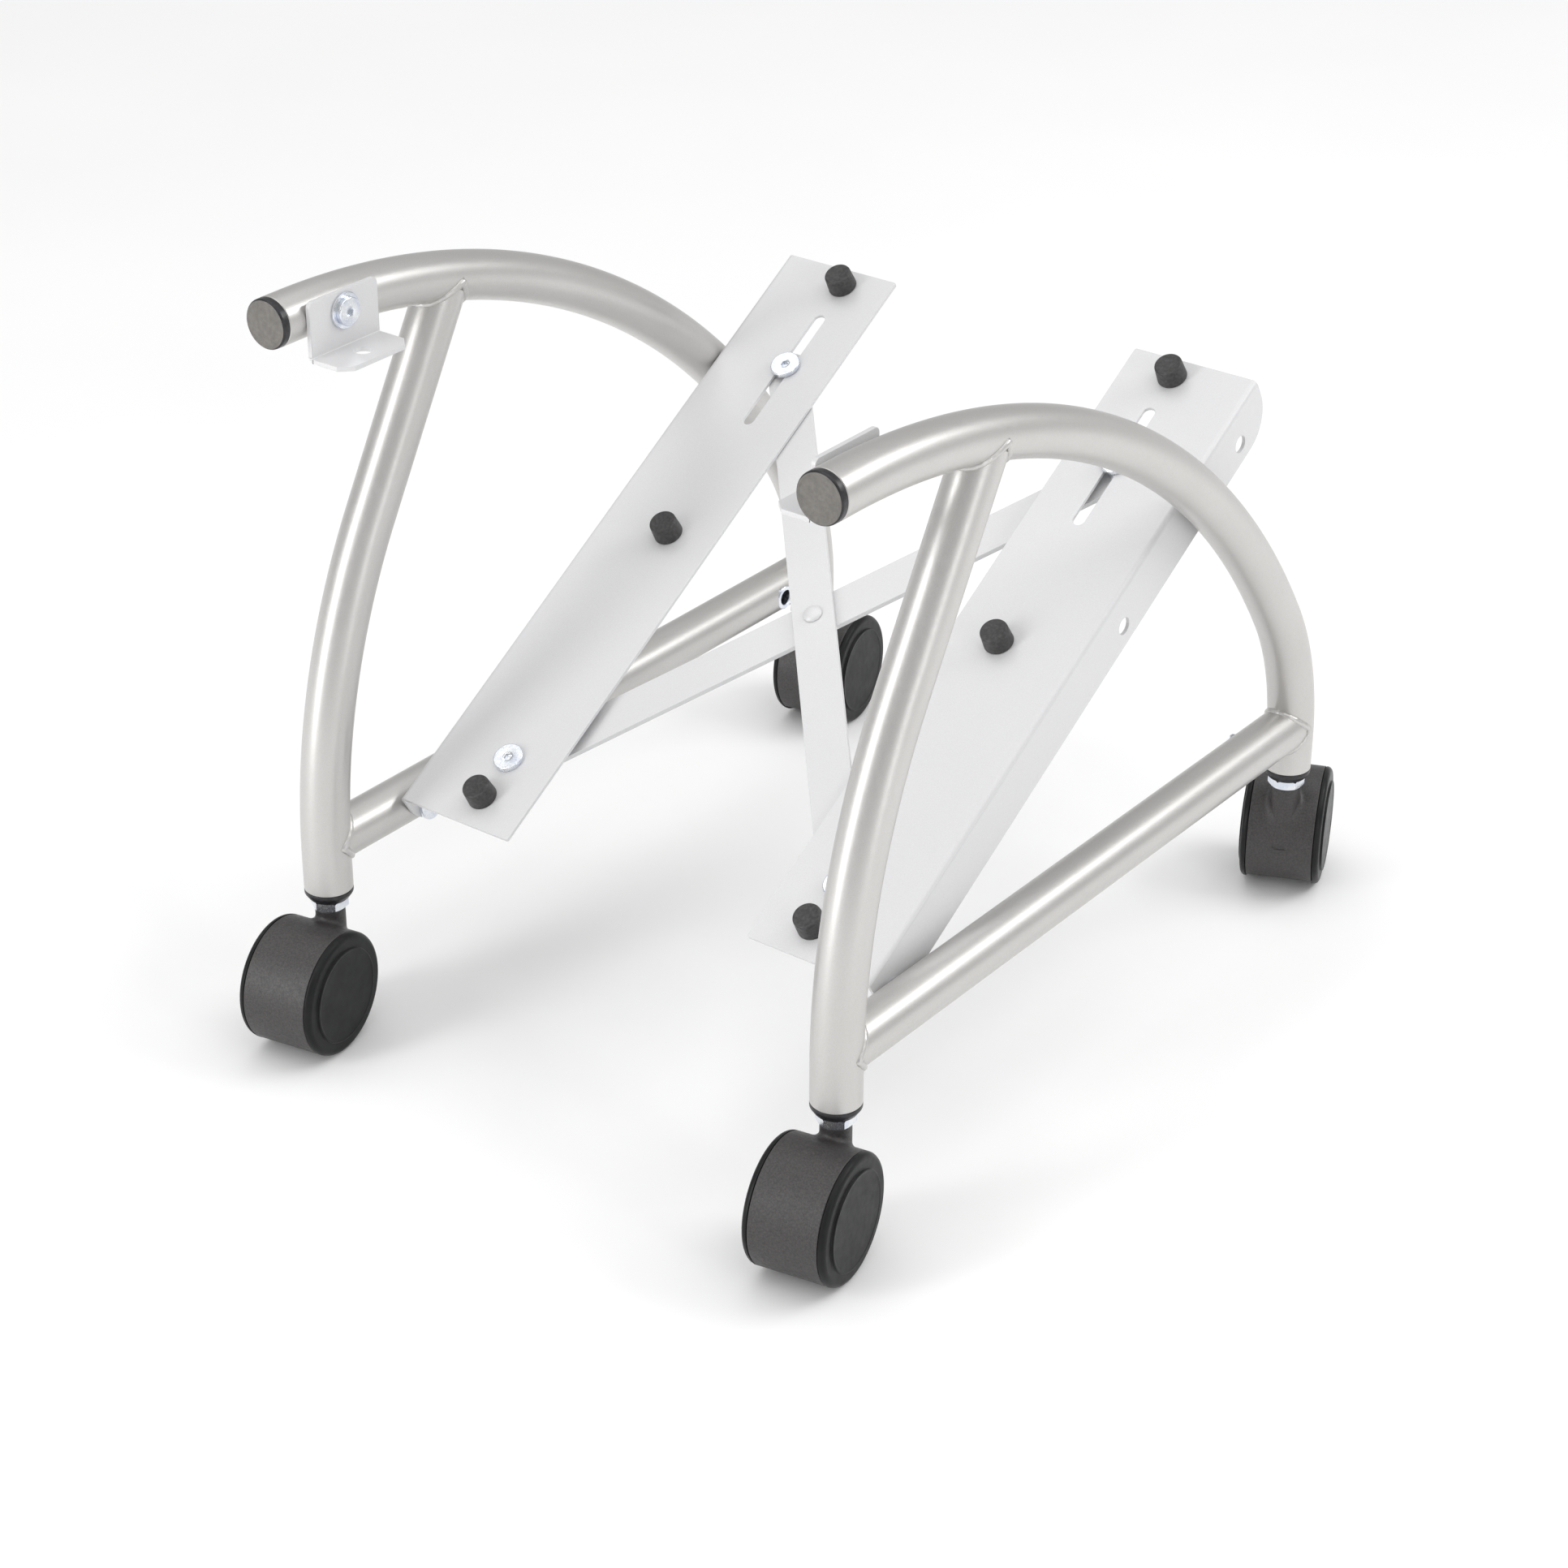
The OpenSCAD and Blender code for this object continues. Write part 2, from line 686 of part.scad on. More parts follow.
// One wheel; face 1 is the wheel on the castor's +X side, -1 the other
module castor_wheel(side, end, face) {
    out = castor_w / 2;
    ring = out - disc_step;
    rim_in = boss_d / 2 + slide_gap;
    shoulder = 2.2;
    color(black) at_castor(side, end) on_side(face) difference() {
        union() {
            across(rim_in, out - rim_w, tread_r);
            across(out - rim_w, ring - shoulder, wheel_r);
            across(ring - shoulder, ring, wheel_r, wheel_r - shoulder);
            across(ring - 1, out, disc_d / 2);
            across(web_t / 2 + 1 + slide_gap, rim_in + 1, hub_r);
        }
        difference() {
            across(rim_in - 1, ring - disc_t, tread_r - rim_wall);
            across(rim_in - 2, out, hub_r);
        }
        across(0, ring - disc_t, axle_d / 2 + run_gap);
    }
}

arch_tube(-1);  // left_arch_tube
front_leg(-1);  // left_front_leg
base_tube(-1);  // left_base_tube
tube_cap(-1);  // left_tube_cap
leg_plugs(-1);  // left_leg_plugs
stem_nuts(-1);  // left_stem_nuts
thread_inserts(-1);  // left_thread_inserts
rail(-1);  // left_rail
bumpers(-1);  // left_bumpers
rail_bolts(-1);  // left_rail_bolts
bracket(-1);  // left_bracket
bracket_bolt(-1);  // left_bracket_bolt
bracket_washer(-1);  // left_bracket_washer

arch_tube(1);  // right_arch_tube
front_leg(1);  // right_front_leg
base_tube(1);  // right_base_tube
tube_cap(1);  // right_tube_cap
leg_plugs(1);  // right_leg_plugs
stem_nuts(1);  // right_stem_nuts
thread_inserts(1);  // right_thread_inserts
rail(1);  // right_rail
bumpers(1);  // right_bumpers
rail_bolts(1);  // right_rail_bolts
bracket(1);  // right_bracket
bracket_bolt(1);  // right_bracket_bolt
bracket_washer(1);  // right_bracket_washer

scissor_bar_a();
scissor_bar_b();
scissor_rivet();

face_bolt(-1, pivot_s, face_n, bar_b_n - slide_gap);  // left_pivot_bolt
face_nut(-1, pivot_s, bar_b_n - slide_gap);  // left_pivot_nut
face_spacer(-1, pivot_s, bar_a_n, face_n - rail_t);  // left_pivot_spacer
face_bolt(1, pivot_s, face_n, bar_a_n - slide_gap);  // right_pivot_bolt
face_nut(1, pivot_s, bar_a_n - slide_gap);  // right_pivot_nut
face_bolt(-1, slot_bolt_s, face_n + slide_gap, bar_a_n);  // left_slot_bolt
face_nut(-1, slot_bolt_s, bar_a_n);  // left_slot_nut
face_bolt(1, slot_bolt_s, face_n + slide_gap, bar_b_n);  // right_slot_bolt
face_nut(1, slot_bolt_s, bar_b_n);  // right_slot_nut
face_spacer(1, slot_bolt_s, bar_b_n + bar_t, bar_a_n + bar_t);  // right_slot_spacer

castor_stem(-1, -1);  // front_left_stem
castor_hood(-1, -1);  // front_left_hood
castor_axle(-1, -1);  // front_left_axle
castor_wheel(-1, -1, -1);  // front_left_outer_wheel
castor_wheel(-1, -1, 1);  // front_left_inner_wheel
castor_stem(1, -1);  // front_right_stem
castor_hood(1, -1);  // front_right_hood
castor_axle(1, -1);  // front_right_axle
castor_wheel(1, -1, 1);  // front_right_outer_wheel
castor_wheel(1, -1, -1);  // front_right_inner_wheel
castor_stem(-1, 1);  // rear_left_stem
castor_hood(-1, 1);  // rear_left_hood
castor_axle(-1, 1);  // rear_left_axle
castor_wheel(-1, 1, 1);  // rear_left_outer_wheel
castor_wheel(-1, 1, -1);  // rear_left_inner_wheel
castor_stem(1, 1);  // rear_right_stem
castor_hood(1, 1);  // rear_right_hood
castor_axle(1, 1);  // rear_right_axle
castor_wheel(1, 1, -1);  // rear_right_outer_wheel
castor_wheel(1, 1, 1);  // rear_right_inner_wheel
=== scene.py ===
"""Looks of the wheeled support frame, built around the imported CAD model. Units are metres."""

import json
import math

import bmesh
import bpy
from mathutils import Matrix, Vector


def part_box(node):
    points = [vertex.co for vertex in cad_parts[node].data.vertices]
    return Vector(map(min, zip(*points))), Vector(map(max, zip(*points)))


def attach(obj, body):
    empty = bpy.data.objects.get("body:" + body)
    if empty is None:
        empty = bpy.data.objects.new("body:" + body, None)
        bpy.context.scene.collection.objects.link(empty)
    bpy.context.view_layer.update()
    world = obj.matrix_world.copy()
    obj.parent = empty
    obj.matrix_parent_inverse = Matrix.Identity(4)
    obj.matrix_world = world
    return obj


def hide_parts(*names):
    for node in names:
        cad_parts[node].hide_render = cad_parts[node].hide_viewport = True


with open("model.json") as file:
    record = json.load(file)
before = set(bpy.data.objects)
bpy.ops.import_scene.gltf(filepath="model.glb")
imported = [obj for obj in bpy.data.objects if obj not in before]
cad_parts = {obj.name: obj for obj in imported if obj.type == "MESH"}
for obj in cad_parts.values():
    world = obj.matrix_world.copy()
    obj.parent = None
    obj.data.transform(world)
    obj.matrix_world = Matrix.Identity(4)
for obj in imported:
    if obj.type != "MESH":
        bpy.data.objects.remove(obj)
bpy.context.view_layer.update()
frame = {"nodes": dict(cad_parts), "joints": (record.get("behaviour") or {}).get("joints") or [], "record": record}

SIDES = {"left": -1, "right": 1}
CASTORS = [(end, side) for end in ("front", "rear") for side in SIDES]
JOINTS = {joint["name"]: joint for joint in frame["joints"]}
SLOT_OF = {part["node"]: part["material_slot"] for part in frame["record"]["subparts"]}
BODY_OF = {
    node: body
    for body, nodes in frame["record"]["behaviour"]["bodies"].items()
    for node in nodes
}

# ---------------------------------------------------------------- sizes

# Places read from the frame
arch_low, arch_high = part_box("right_arch_tube")
base_low, base_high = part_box("right_base_tube")
rail_low, rail_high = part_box("right_rail")
TUBE_R = (arch_high.x - arch_low.x) / 2
SIDE_X = (arch_high.x + arch_low.x) / 2
FOOT_Z = arch_low.z
ARCH_Z = arch_high.z - TUBE_R
BASE_Z = (base_low.z + base_high.z) / 2
FRONT_Y = JOINTS["front_right_swivel"]["pos_m"][1]
REAR_Y = JOINTS["rear_right_swivel"]["pos_m"][1]
NOSE_Y = arch_low.y

# Bends of the tubes, as in the CAD model
TUBE_WALL = 0.0015
BORE_R = TUBE_R - TUBE_WALL
NOSE_STRAIGHT = 0.011
REAR_BEND_R = 0.150
REAR_FOOT = 0.017
LEG_FOOT = 0.020
LEG_BEND_R = 0.343
LEG_LEAN = math.radians(29.8)

# Rails, as in the CAD model
RAIL_BOLT_Y = 0.0615
RAIL_LEN = 0.380
RAIL_W = 0.072
RAIL_T = 0.002
FLANGE_H = 0.031
FLANGE_CORNER_R = 0.020
FOLD_R = 0.003
RAIL_TAIL = 0.011
FACE_N = 0.020
PIVOT_INSET = 0.0435
FLANGE_HOLE_R = 0.0045
SPARE_HOLES_S = (0.223, 0.343)
BUMPER_S = (0.006, 0.182, 0.358)
PIVOT_S = 0.0305
SLOT_S = 0.2975
SLOT_LEN = 0.078
SLOT_W = 0.0066
SLOT_BOLT_S = SLOT_S + 0.002

# Castors, as in the CAD model
TRAIL = 0.0225
WHEEL_R = 0.0325
HALF_W = 0.02275
HOOD_HALF_W = 0.01795
RIM_W = 0.0045
DISC_R = 0.025
DISC_STEP = 0.0012
HOOD_WALL = 0.0022
HOOD_LIFT = 0.009
BOSS_R = 0.0077
BOSS_TOP = 0.0677

ARC_START_Y = NOSE_Y + NOSE_STRAIGHT
ARC_RUN = REAR_Y - REAR_BEND_R - ARC_START_Y
SHOULDER = 2 * math.atan((ARCH_Z - FOOT_Z - REAR_FOOT - REAR_BEND_R) / ARC_RUN)
ARCH_R = REAR_BEND_R + ARC_RUN / math.sin(SHOULDER)
ARCH_C = Vector((ARC_START_Y, ARCH_Z - ARCH_R))
REAR_C = Vector((REAR_Y - REAR_BEND_R, FOOT_Z + REAR_FOOT))
LEG_C = Vector((FRONT_Y + LEG_BEND_R, FOOT_Z + LEG_FOOT))
LEG_DIR = Vector((math.sin(LEG_LEAN), math.cos(LEG_LEAN)))
LEG_P = LEG_C + LEG_BEND_R * Vector((-math.cos(LEG_LEAN), math.sin(LEG_LEAN)))

RAIL_X = SIDE_X - TUBE_R - 0.0001
PIVOT_X = RAIL_X - PIVOT_INSET
RAIL_UP = Vector(JOINTS["brace_fold"]["axis"])
RAIL_TILT = math.atan2(-RAIL_UP.y, RAIL_UP.z)
ON_RAIL = Matrix.Translation((0, FRONT_Y + RAIL_BOLT_Y, BASE_Z)) @ Matrix.Rotation(RAIL_TILT, 4, "X")


def reach_to_arch(p, d):
    """Distance from a point inside the arch to the arch tube's centre line."""
    v = p - ARCH_C
    b = v.dot(d)
    return -b + math.sqrt(b * b - v.dot(v) + ARCH_R ** 2)


RAIL_P = Vector((FRONT_Y + RAIL_BOLT_Y, BASE_Z))
ARCH_BOLT_S = reach_to_arch(RAIL_P, Vector((math.cos(RAIL_TILT), math.sin(RAIL_TILT))))


# ---------------------------------------------------------------- mesh tools

def circle(radius, count):
    """Points of a circle in local X and Y; radius may be a function of the angle."""
    angles = [2 * math.pi * i / count for i in range(count)]
    reach = radius if callable(radius) else lambda a: radius
    return [(reach(a) * math.cos(a), reach(a) * math.sin(a)) for a in angles]


def arc(centre, radius, a_from, a_to, count):
    """Points of an arc in a plane, ends included, with angles in radians."""
    angles = [a_from + (a_to - a_from) * i / count for i in range(count + 1)]
    return [Vector(centre) + radius * Vector((math.cos(a), math.sin(a))) for a in angles]


def hexagon(across_flats):
    """The radius of a hexagon as a function of the angle."""
    half = math.radians(30)
    return lambda a: across_flats / 2 / math.cos((a + half) % (2 * half) - half)


class Shape:
    """A mesh in the making: closed shells, each placed by a matrix."""

    def __init__(self):
        self.mesh = bmesh.new()

    def loft(self, rings, place=Matrix(), wrap=False, material=0):
        """Joins rings of equally many points; the ends are capped unless the rings wrap round."""
        made = [[self.mesh.verts.new(place @ Vector(p)) for p in ring] for ring in rings]
        pairs = list(zip(made, made[1:])) + ([(made[-1], made[0])] if wrap else [])
        for i, (low, high) in enumerate(pairs):
            paint = material(i) if callable(material) else material
            for j in range(len(low)):
                k = (j + 1) % len(low)
                self.mesh.faces.new((low[j], low[k], high[k], high[j])).material_index = paint
        if not wrap:
            for ring in (made[0], made[-1]):
                paint = material(len(pairs) - 1) if callable(material) and ring is made[-1] else 0
                self.mesh.faces.new(ring).material_index = paint

    def lathe(self, profile, place=Matrix(), count=64, wrap=False, material=0):
        """Turns (radius, height) pairs about local Z."""
        rings = [[(x, y, h) for x, y in circle(r, count)] for r, h in profile]
        self.loft(rings, place, wrap, material)

    def plate(self, outline, holes, thickness, place=Matrix(), edge=0.0003):
        """A flat sheet about local Z = 0 with rounded edges; outline and holes are loops of points."""
        half = thickness / 2
        steps = [(-edge, -half), (-edge * 0.3, -half + edge * 0.3), (0, -half + edge)]
        steps += [(inset, -z) for inset, z in reversed(steps)]
        faces = []
        for loop, sign in [(outline, 1)] + [(hole, -1) for hole in holes]:
            rings = []
            for inset, z in steps:
                points = [(p.x, p.y, z) for p in offset_loop(loop, inset * sign)]
                rings.append([self.mesh.verts.new(place @ Vector(p)) for p in points])
            for low, high in zip(rings, rings[1:]):
                for j in range(len(low)):
                    k = (j + 1) % len(low)
                    self.mesh.faces.new((low[j], low[k], high[k], high[j]))
            faces.append((rings[0], rings[-1]))
        for level in (0, 1):
            edges = []
            for pair in faces:
                ring = pair[level]
                edges += [self.mesh.edges.get((ring[j - 1], ring[j])) for j in range(len(ring))]
            bmesh.ops.triangle_fill(self.mesh, use_beauty=True, edges=edges)

    def finish(self, name, materials, smooth_angle=35, mirror=False):
        """Makes the object, mirrored to the left if asked."""
        if mirror:
            bmesh.ops.transform(self.mesh, matrix=Matrix.Scale(-1, 4, (1, 0, 0)), verts=self.mesh.verts)
        bmesh.ops.remove_doubles(self.mesh, verts=self.mesh.verts, dist=2e-6)
        bmesh.ops.dissolve_degenerate(self.mesh, edges=self.mesh.edges, dist=1e-7)
        bmesh.ops.recalc_face_normals(self.mesh, faces=self.mesh.faces)
        data = bpy.data.meshes.new(name)
        self.mesh.to_mesh(data)
        self.mesh.free()
        data.polygons.foreach_set("use_smooth", [True] * len(data.polygons))
        data.set_sharp_from_angle(angle=math.radians(smooth_angle))
        for material in materials:
            data.materials.append(material)
        made = bpy.data.objects.new(name, data)
        bpy.context.scene.collection.objects.link(made)
        weighted_normals(made)
        return made


def weighted_normals(made):
    """Lets the big flat faces carry the shading, so a sheet looks flat up to its rounded edge."""
    modifier = made.modifiers.new("weighted_normals", "WEIGHTED_NORMAL")
    modifier.keep_sharp = True


def offset_loop(loop, distance):
    """A closed loop moved along its outward normals; the loop runs anticlockwise."""
    moved = []
    for i, p in enumerate(loop):
        before = (p - loop[i - 1]).normalized()
        after = (loop[(i + 1) % len(loop)] - p).normalized()
        normal = Vector((before.y + after.y, -before.x - after.x)).normalized()
        share = max(normal.dot(Vector((after.y, -after.x))), 0.3)
        moved.append(p + normal * distance / share)
    return moved


def rounded_box(x0, y0, x1, y1, radii, count=10):
    """A rectangle with a radius at each corner, anticlockwise from the lower left."""
    corners = [(x0, y0, 180), (x1, y0, 270), (x1, y1, 0), (x0, y1, 90)]
    points = []
    for (x, y, start), r in zip(corners, radii):
        cx = x + r if x == x0 else x - r
        cy = y + r if y == y0 else y - r
        points += arc((cx, cy), r, math.radians(start), math.radians(start + 90), count)
    return points


def round_hole(x, y, radius, count=32):
    return [Vector((x + px, y + py)) for px, py in circle(radius, count)]


def dressed(made, node):
    """Lets a finished piece stand for a CAD node: same body, and the node hidden."""
    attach(made, BODY_OF[node])
    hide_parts(node)
    return made


# ---------------------------------------------------------------- materials

class Finish:
    """A node material under construction, with textures in the piece's own coordinates."""

    def __init__(self, name, colour, roughness, **sockets):
        self.material = bpy.data.materials.new(name)
        self.material.use_nodes = True
        self.nodes = self.material.node_tree.nodes
        self.links = self.material.node_tree.links
        self.shader = self.nodes["Principled BSDF"]
        self.shader.inputs["Base Color"].default_value = (*colour, 1)
        self.shader.inputs["Roughness"].default_value = roughness
        for socket, value in sockets.items():
            self.shader.inputs[socket.replace("_", " ")].default_value = value
        self.place = self.nodes.new("ShaderNodeTexCoord").outputs["Object"]

    def noise(self, scale, detail=3, roughness=0.5):
        node = self.nodes.new("ShaderNodeTexNoise")
        node.inputs["Scale"].default_value = scale
        node.inputs["Detail"].default_value = detail
        node.inputs["Roughness"].default_value = roughness
        self.links.new(self.place, node.inputs["Vector"])
        return node.outputs["Fac"]

    def ramp(self, factor, stops):
        node = self.nodes.new("ShaderNodeValToRGB")
        self.links.new(factor, node.inputs["Fac"])
        elements = node.color_ramp.elements
        while len(elements) < len(stops):
            elements.new(0.5)
        for element, (position, colour) in zip(elements, stops):
            element.position = position
            element.color = (*colour, 1)
        return node.outputs["Color"]

    def spread(self, factor, low, high, at_low=0.3, at_high=0.7):
        """Maps a factor to a number between low and high."""
        node = self.nodes.new("ShaderNodeMapRange")
        node.inputs["From Min"].default_value = at_low
        node.inputs["From Max"].default_value = at_high
        node.inputs["To Min"].default_value = low
        node.inputs["To Max"].default_value = high
        self.links.new(factor, node.inputs["Value"])
        return node.outputs["Result"]

    def multiply(self, one, other):
        node = self.nodes.new("ShaderNodeMix")
        node.data_type = "RGBA"
        node.blend_type = "MULTIPLY"
        node.inputs["Factor"].default_value = 1
        self.links.new(one, node.inputs["A"])
        self.links.new(other, node.inputs["B"])
        return node.outputs["Result"]

    def bump(self, height, distance, strength=1.0):
        node = self.nodes.new("ShaderNodeBump")
        node.inputs["Distance"].default_value = distance
        node.inputs["Strength"].default_value = strength
        self.links.new(height, node.inputs["Height"])
        before = self.shader.inputs["Normal"].links
        if before:
            self.links.new(before[0].from_socket, node.inputs["Normal"])
        self.links.new(node.outputs["Normal"], self.shader.inputs["Normal"])

    def set(self, socket, value):
        self.links.new(value, self.shader.inputs[socket])


def shades(colour, spread):
    """A darker and a lighter shade of a colour."""
    return tuple(c * (1 - spread) for c in colour), tuple(min(c * (1 + spread), 1) for c in colour)


def silver_powder():
    """Satin silver powder coat: fine metallic flakes under a soft orange peel."""
    colour = (0.60, 0.592, 0.578)
    finish = Finish("silver_powder_coat", colour, 0.38, Metallic=0.8, Coat_Weight=0.05, Coat_Roughness=0.3)
    dark, light = shades(colour, 0.04)
    flakes = finish.ramp(finish.noise(2600, 2), [(0.35, dark), (0.65, light)])
    clouds = finish.ramp(finish.noise(14, 2), [(0.3, (0.96, 0.955, 0.95)), (0.7, (1, 1, 1))])
    finish.set("Base Color", finish.multiply(flakes, clouds))
    finish.set("Roughness", finish.spread(finish.noise(420, 3), 0.35, 0.42))
    finish.bump(finish.noise(900, 2), 0.00002, 0.15)
    return finish.material


def pale_powder():
    """Smooth pale grey powder coat on sheet metal."""
    colour = (0.70, 0.70, 0.705)
    finish = Finish("pale_powder_coat", colour, 0.42, Metallic=0.15, Coat_Weight=0.1, Coat_Roughness=0.3)
    dark, light = shades(colour, 0.025)
    grain = finish.ramp(finish.noise(1800, 2), [(0.35, dark), (0.65, light)])
    clouds = finish.ramp(finish.noise(9, 2), [(0.3, (0.975, 0.975, 0.98)), (0.7, (1, 1, 1))])
    finish.set("Base Color", finish.multiply(grain, clouds))
    finish.set("Roughness", finish.spread(finish.noise(300, 3), 0.38, 0.47))
    finish.bump(finish.noise(1100, 2), 0.00003, 0.3)
    return finish.material


def zinc_plate():
    """Bright zinc plate with a blue passivate and slight streaks."""
    colour = (0.78, 0.81, 0.86)
    finish = Finish("zinc_plate", colour, 0.2, Metallic=1.0)
    tint = finish.ramp(finish.noise(160, 3), [(0.35, (0.70, 0.74, 0.83)), (0.65, (0.86, 0.88, 0.90))])
    finish.set("Base Color", tint)
    finish.set("Roughness", finish.spread(finish.noise(900, 4), 0.14, 0.30))
    finish.bump(finish.noise(1500, 2), 0.00003, 0.3)
    return finish.material


def black_rubber():
    """Satin black rubber, a little dusty."""
    finish = Finish("black_rubber", (0.022, 0.021, 0.022), 0.48)
    dust = finish.ramp(finish.noise(600, 4), [(0.4, (0.030, 0.029, 0.029)), (0.75, (0.065, 0.062, 0.062))])
    finish.set("Base Color", dust)
    finish.set("Roughness", finish.spread(finish.noise(350, 3), 0.40, 0.56))
    finish.bump(finish.noise(1600, 3), 0.00005, 0.4)
    return finish.material


def cap_face():
    """Matt grey-brown face of the end caps, lightly scuffed."""
    finish = Finish("cap_face", (0.15, 0.142, 0.13), 0.55)
    scuff_shades = [(0.3, (0.125, 0.118, 0.108)), (0.7, (0.185, 0.175, 0.16))]
    scuffs = finish.ramp(finish.noise(500, 5, 0.6), scuff_shades)
    finish.set("Base Color", scuffs)
    finish.set("Roughness", finish.spread(finish.noise(260, 3), 0.48, 0.62))
    finish.bump(finish.noise(1400, 3), 0.00005, 0.4)
    return finish.material


def black_moulding():
    """Satin black moulded plastic."""
    finish = Finish("black_moulding", (0.014, 0.014, 0.016), 0.34)
    flow_shades = [(0.4, (0.010, 0.010, 0.012)), (0.7, (0.022, 0.022, 0.025))]
    finish.set("Base Color", finish.ramp(finish.noise(700, 3), flow_shades))
    finish.set("Roughness", finish.spread(finish.noise(420, 3), 0.28, 0.42))
    finish.bump(finish.noise(1300, 3), 0.00004, 0.35)
    return finish.material


def hood_moulding():
    """Charcoal moulded plastic with a fine spark-eroded grain."""
    finish = Finish("hood_moulding", (0.045, 0.042, 0.042), 0.42)
    grain_shades = [(0.32, (0.028, 0.026, 0.026)), (0.7, (0.062, 0.058, 0.057))]
    mottle = finish.ramp(finish.noise(1100, 4, 0.6), grain_shades)
    finish.set("Base Color", mottle)
    finish.set("Roughness", finish.spread(finish.noise(500, 4), 0.38, 0.54))
    finish.bump(finish.noise(1500, 4, 0.6), 0.00014, 0.8)
    return finish.material


def wheel_moulding():
    """Smooth black wheel plastic with a low gloss."""
    finish = Finish("wheel_moulding", (0.012, 0.0125, 0.013), 0.36, IOR=1.25)
    flow_shades = [(0.35, (0.010, 0.0105, 0.011)), (0.7, (0.017, 0.0175, 0.018))]
    finish.set("Base Color", finish.ramp(finish.noise(90, 3), flow_shades))
    finish.set("Roughness", finish.spread(finish.noise(240, 4), 0.32, 0.42))
    finish.bump(finish.noise(700, 2), 0.00003, 0.25)
    return finish.material


SILVER = silver_powder()
PALE = pale_powder()
ZINC = zinc_plate()
RUBBER = black_rubber()
CAP_FACE = cap_face()
MOULDING = black_moulding()
HOOD = hood_moulding()
WHEEL = wheel_moulding()
MATERIAL_OF = {
    "tube_paint": SILVER,
    "sheet_paint": PALE,
    "zinc_plate": ZINC,
    "bumper_rubber": RUBBER,
    "cap_plastic": CAP_FACE,
    "plug_plastic": MOULDING,
    "hood_plastic": HOOD,
    "wheel_plastic": WHEEL,
}


def paint_cad_nodes():
    """Gives every CAD node its finish, whether it stays in view or is stood for."""
    for name, node in frame["nodes"].items():
        node.data.materials.clear()
        node.data.materials.append(MATERIAL_OF[SLOT_OF[name]])
        node.data.polygons.foreach_set("use_smooth", [True] * len(node.data.polygons))
        node.data.set_sharp_from_angle(angle=math.radians(35))


# ---------------------------------------------------------------- tubes

TUBE_SIDES = 72
EDGE = 0.0004


def tube_rings(path, radius):
    """Circles along a path in the side plane; a path point is (y, z)."""
    rings = []
    for i, p in enumerate(path):
        ahead = path[min(i + 1, len(path) - 1)] - path[max(i - 1, 0)]
        up = Vector((-ahead.y, ahead.x)).normalized()
        r = radius(i) if callable(radius) else radius
        rings.append([(SIDE_X + r * c, p.x + r * s * up.x, p.y + r * s * up.y)
                      for c, s in circle(1, TUBE_SIDES)])
    return rings


def add_tube(shape, path):
    """A hollow tube along a path, with slightly rounded end edges."""
    start = path[0] + (path[1] - path[0]).normalized() * EDGE
    end = path[-1] + (path[-2] - path[-1]).normalized() * EDGE
    path = [path[0], start] + path[1:-1] + [end, path[-1]]
    last = len(path) - 1
    outer = tube_rings(path, lambda i: TUBE_R - (EDGE if i in (0, last) else 0))
    inner = tube_rings(path, BORE_R)
    shape.loft(outer + inner[::-1], wrap=True)


def arch_path():
    level = [Vector((NOSE_Y, ARCH_Z)), Vector((NOSE_Y + NOSE_STRAIGHT / 2, ARCH_Z))]
    long_arc = arc(ARCH_C, ARCH_R, math.pi / 2, math.pi / 2 - SHOULDER, 90)
    rear_arc = arc(REAR_C, REAR_BEND_R, math.pi / 2 - SHOULDER, 0, 30)
    foot = [Vector((REAR_Y, FOOT_Z + REAR_FOOT / 2)), Vector((REAR_Y, FOOT_Z))]
    return level + long_arc + rear_arc[1:] + foot


def leg_path():
    bend = arc(LEG_C, LEG_BEND_R, math.pi, math.pi - LEG_LEAN, 40)
    top = LEG_P + LEG_DIR * (reach_to_arch(LEG_P, LEG_DIR) - 0.004)
    foot = [Vector((FRONT_Y, FOOT_Z)), Vector((FRONT_Y, FOOT_Z + LEG_FOOT / 2))]
    return foot + bend + [(LEG_P + top) / 2, top]


def base_path():
    step = (REAR_Y - FRONT_Y) / 12
    return [Vector((FRONT_Y + 0.004 + i * (step - 0.008 / 12), BASE_Z)) for i in range(13)]


def cut(made, cutter):
    """Takes a cutter's solid out of a piece for good."""
    modifier = made.modifiers.new("hole", "BOOLEAN")
    modifier.solver = "EXACT"
    modifier.object = cutter
    bpy.context.view_layer.update()
    evaluated = made.evaluated_get(bpy.context.evaluated_depsgraph_get())
    data = bpy.data.meshes.new_from_object(evaluated)
    made.modifiers.clear()
    made.data = data
    weighted_normals(made)
    data.polygons.foreach_set("use_smooth", [True] * len(data.polygons))
    data.set_sharp_from_angle(angle=math.radians(35))
    bpy.data.objects.remove(cutter)


SPARE_INSERT = Vector((REAR_Y - 0.042, BASE_Z))
TO_MIDDLE = Matrix.Rotation(-math.pi / 2, 4, "Y")
INSERT_R = 0.0055
FLANGED_INSERT_R = 0.0068


def tubes(side):
    mirror = SIDES[side] < 0
    for node, path in (("arch_tube", arch_path()), ("front_leg", leg_path()), ("base_tube", base_path())):
        shape = Shape()
        add_tube(shape, path)
        made = shape.finish(f"{side}_{node}_skin", [SILVER], mirror=mirror)
        if node == "base_tube":
            hole = Shape()
            inward = Matrix.Translation((SIDE_X, *SPARE_INSERT)) @ TO_MIDDLE
            hole.lathe([(INSERT_R, 0.003), (INSERT_R, 0.03)], inward, count=48)
            cut(made, hole.finish("hole_cutter", [], mirror=mirror))
        dressed(made, f"{side}_{node}")


def to_arch(y, z):
    return abs((Vector((y, z)) - ARCH_C).length - ARCH_R)


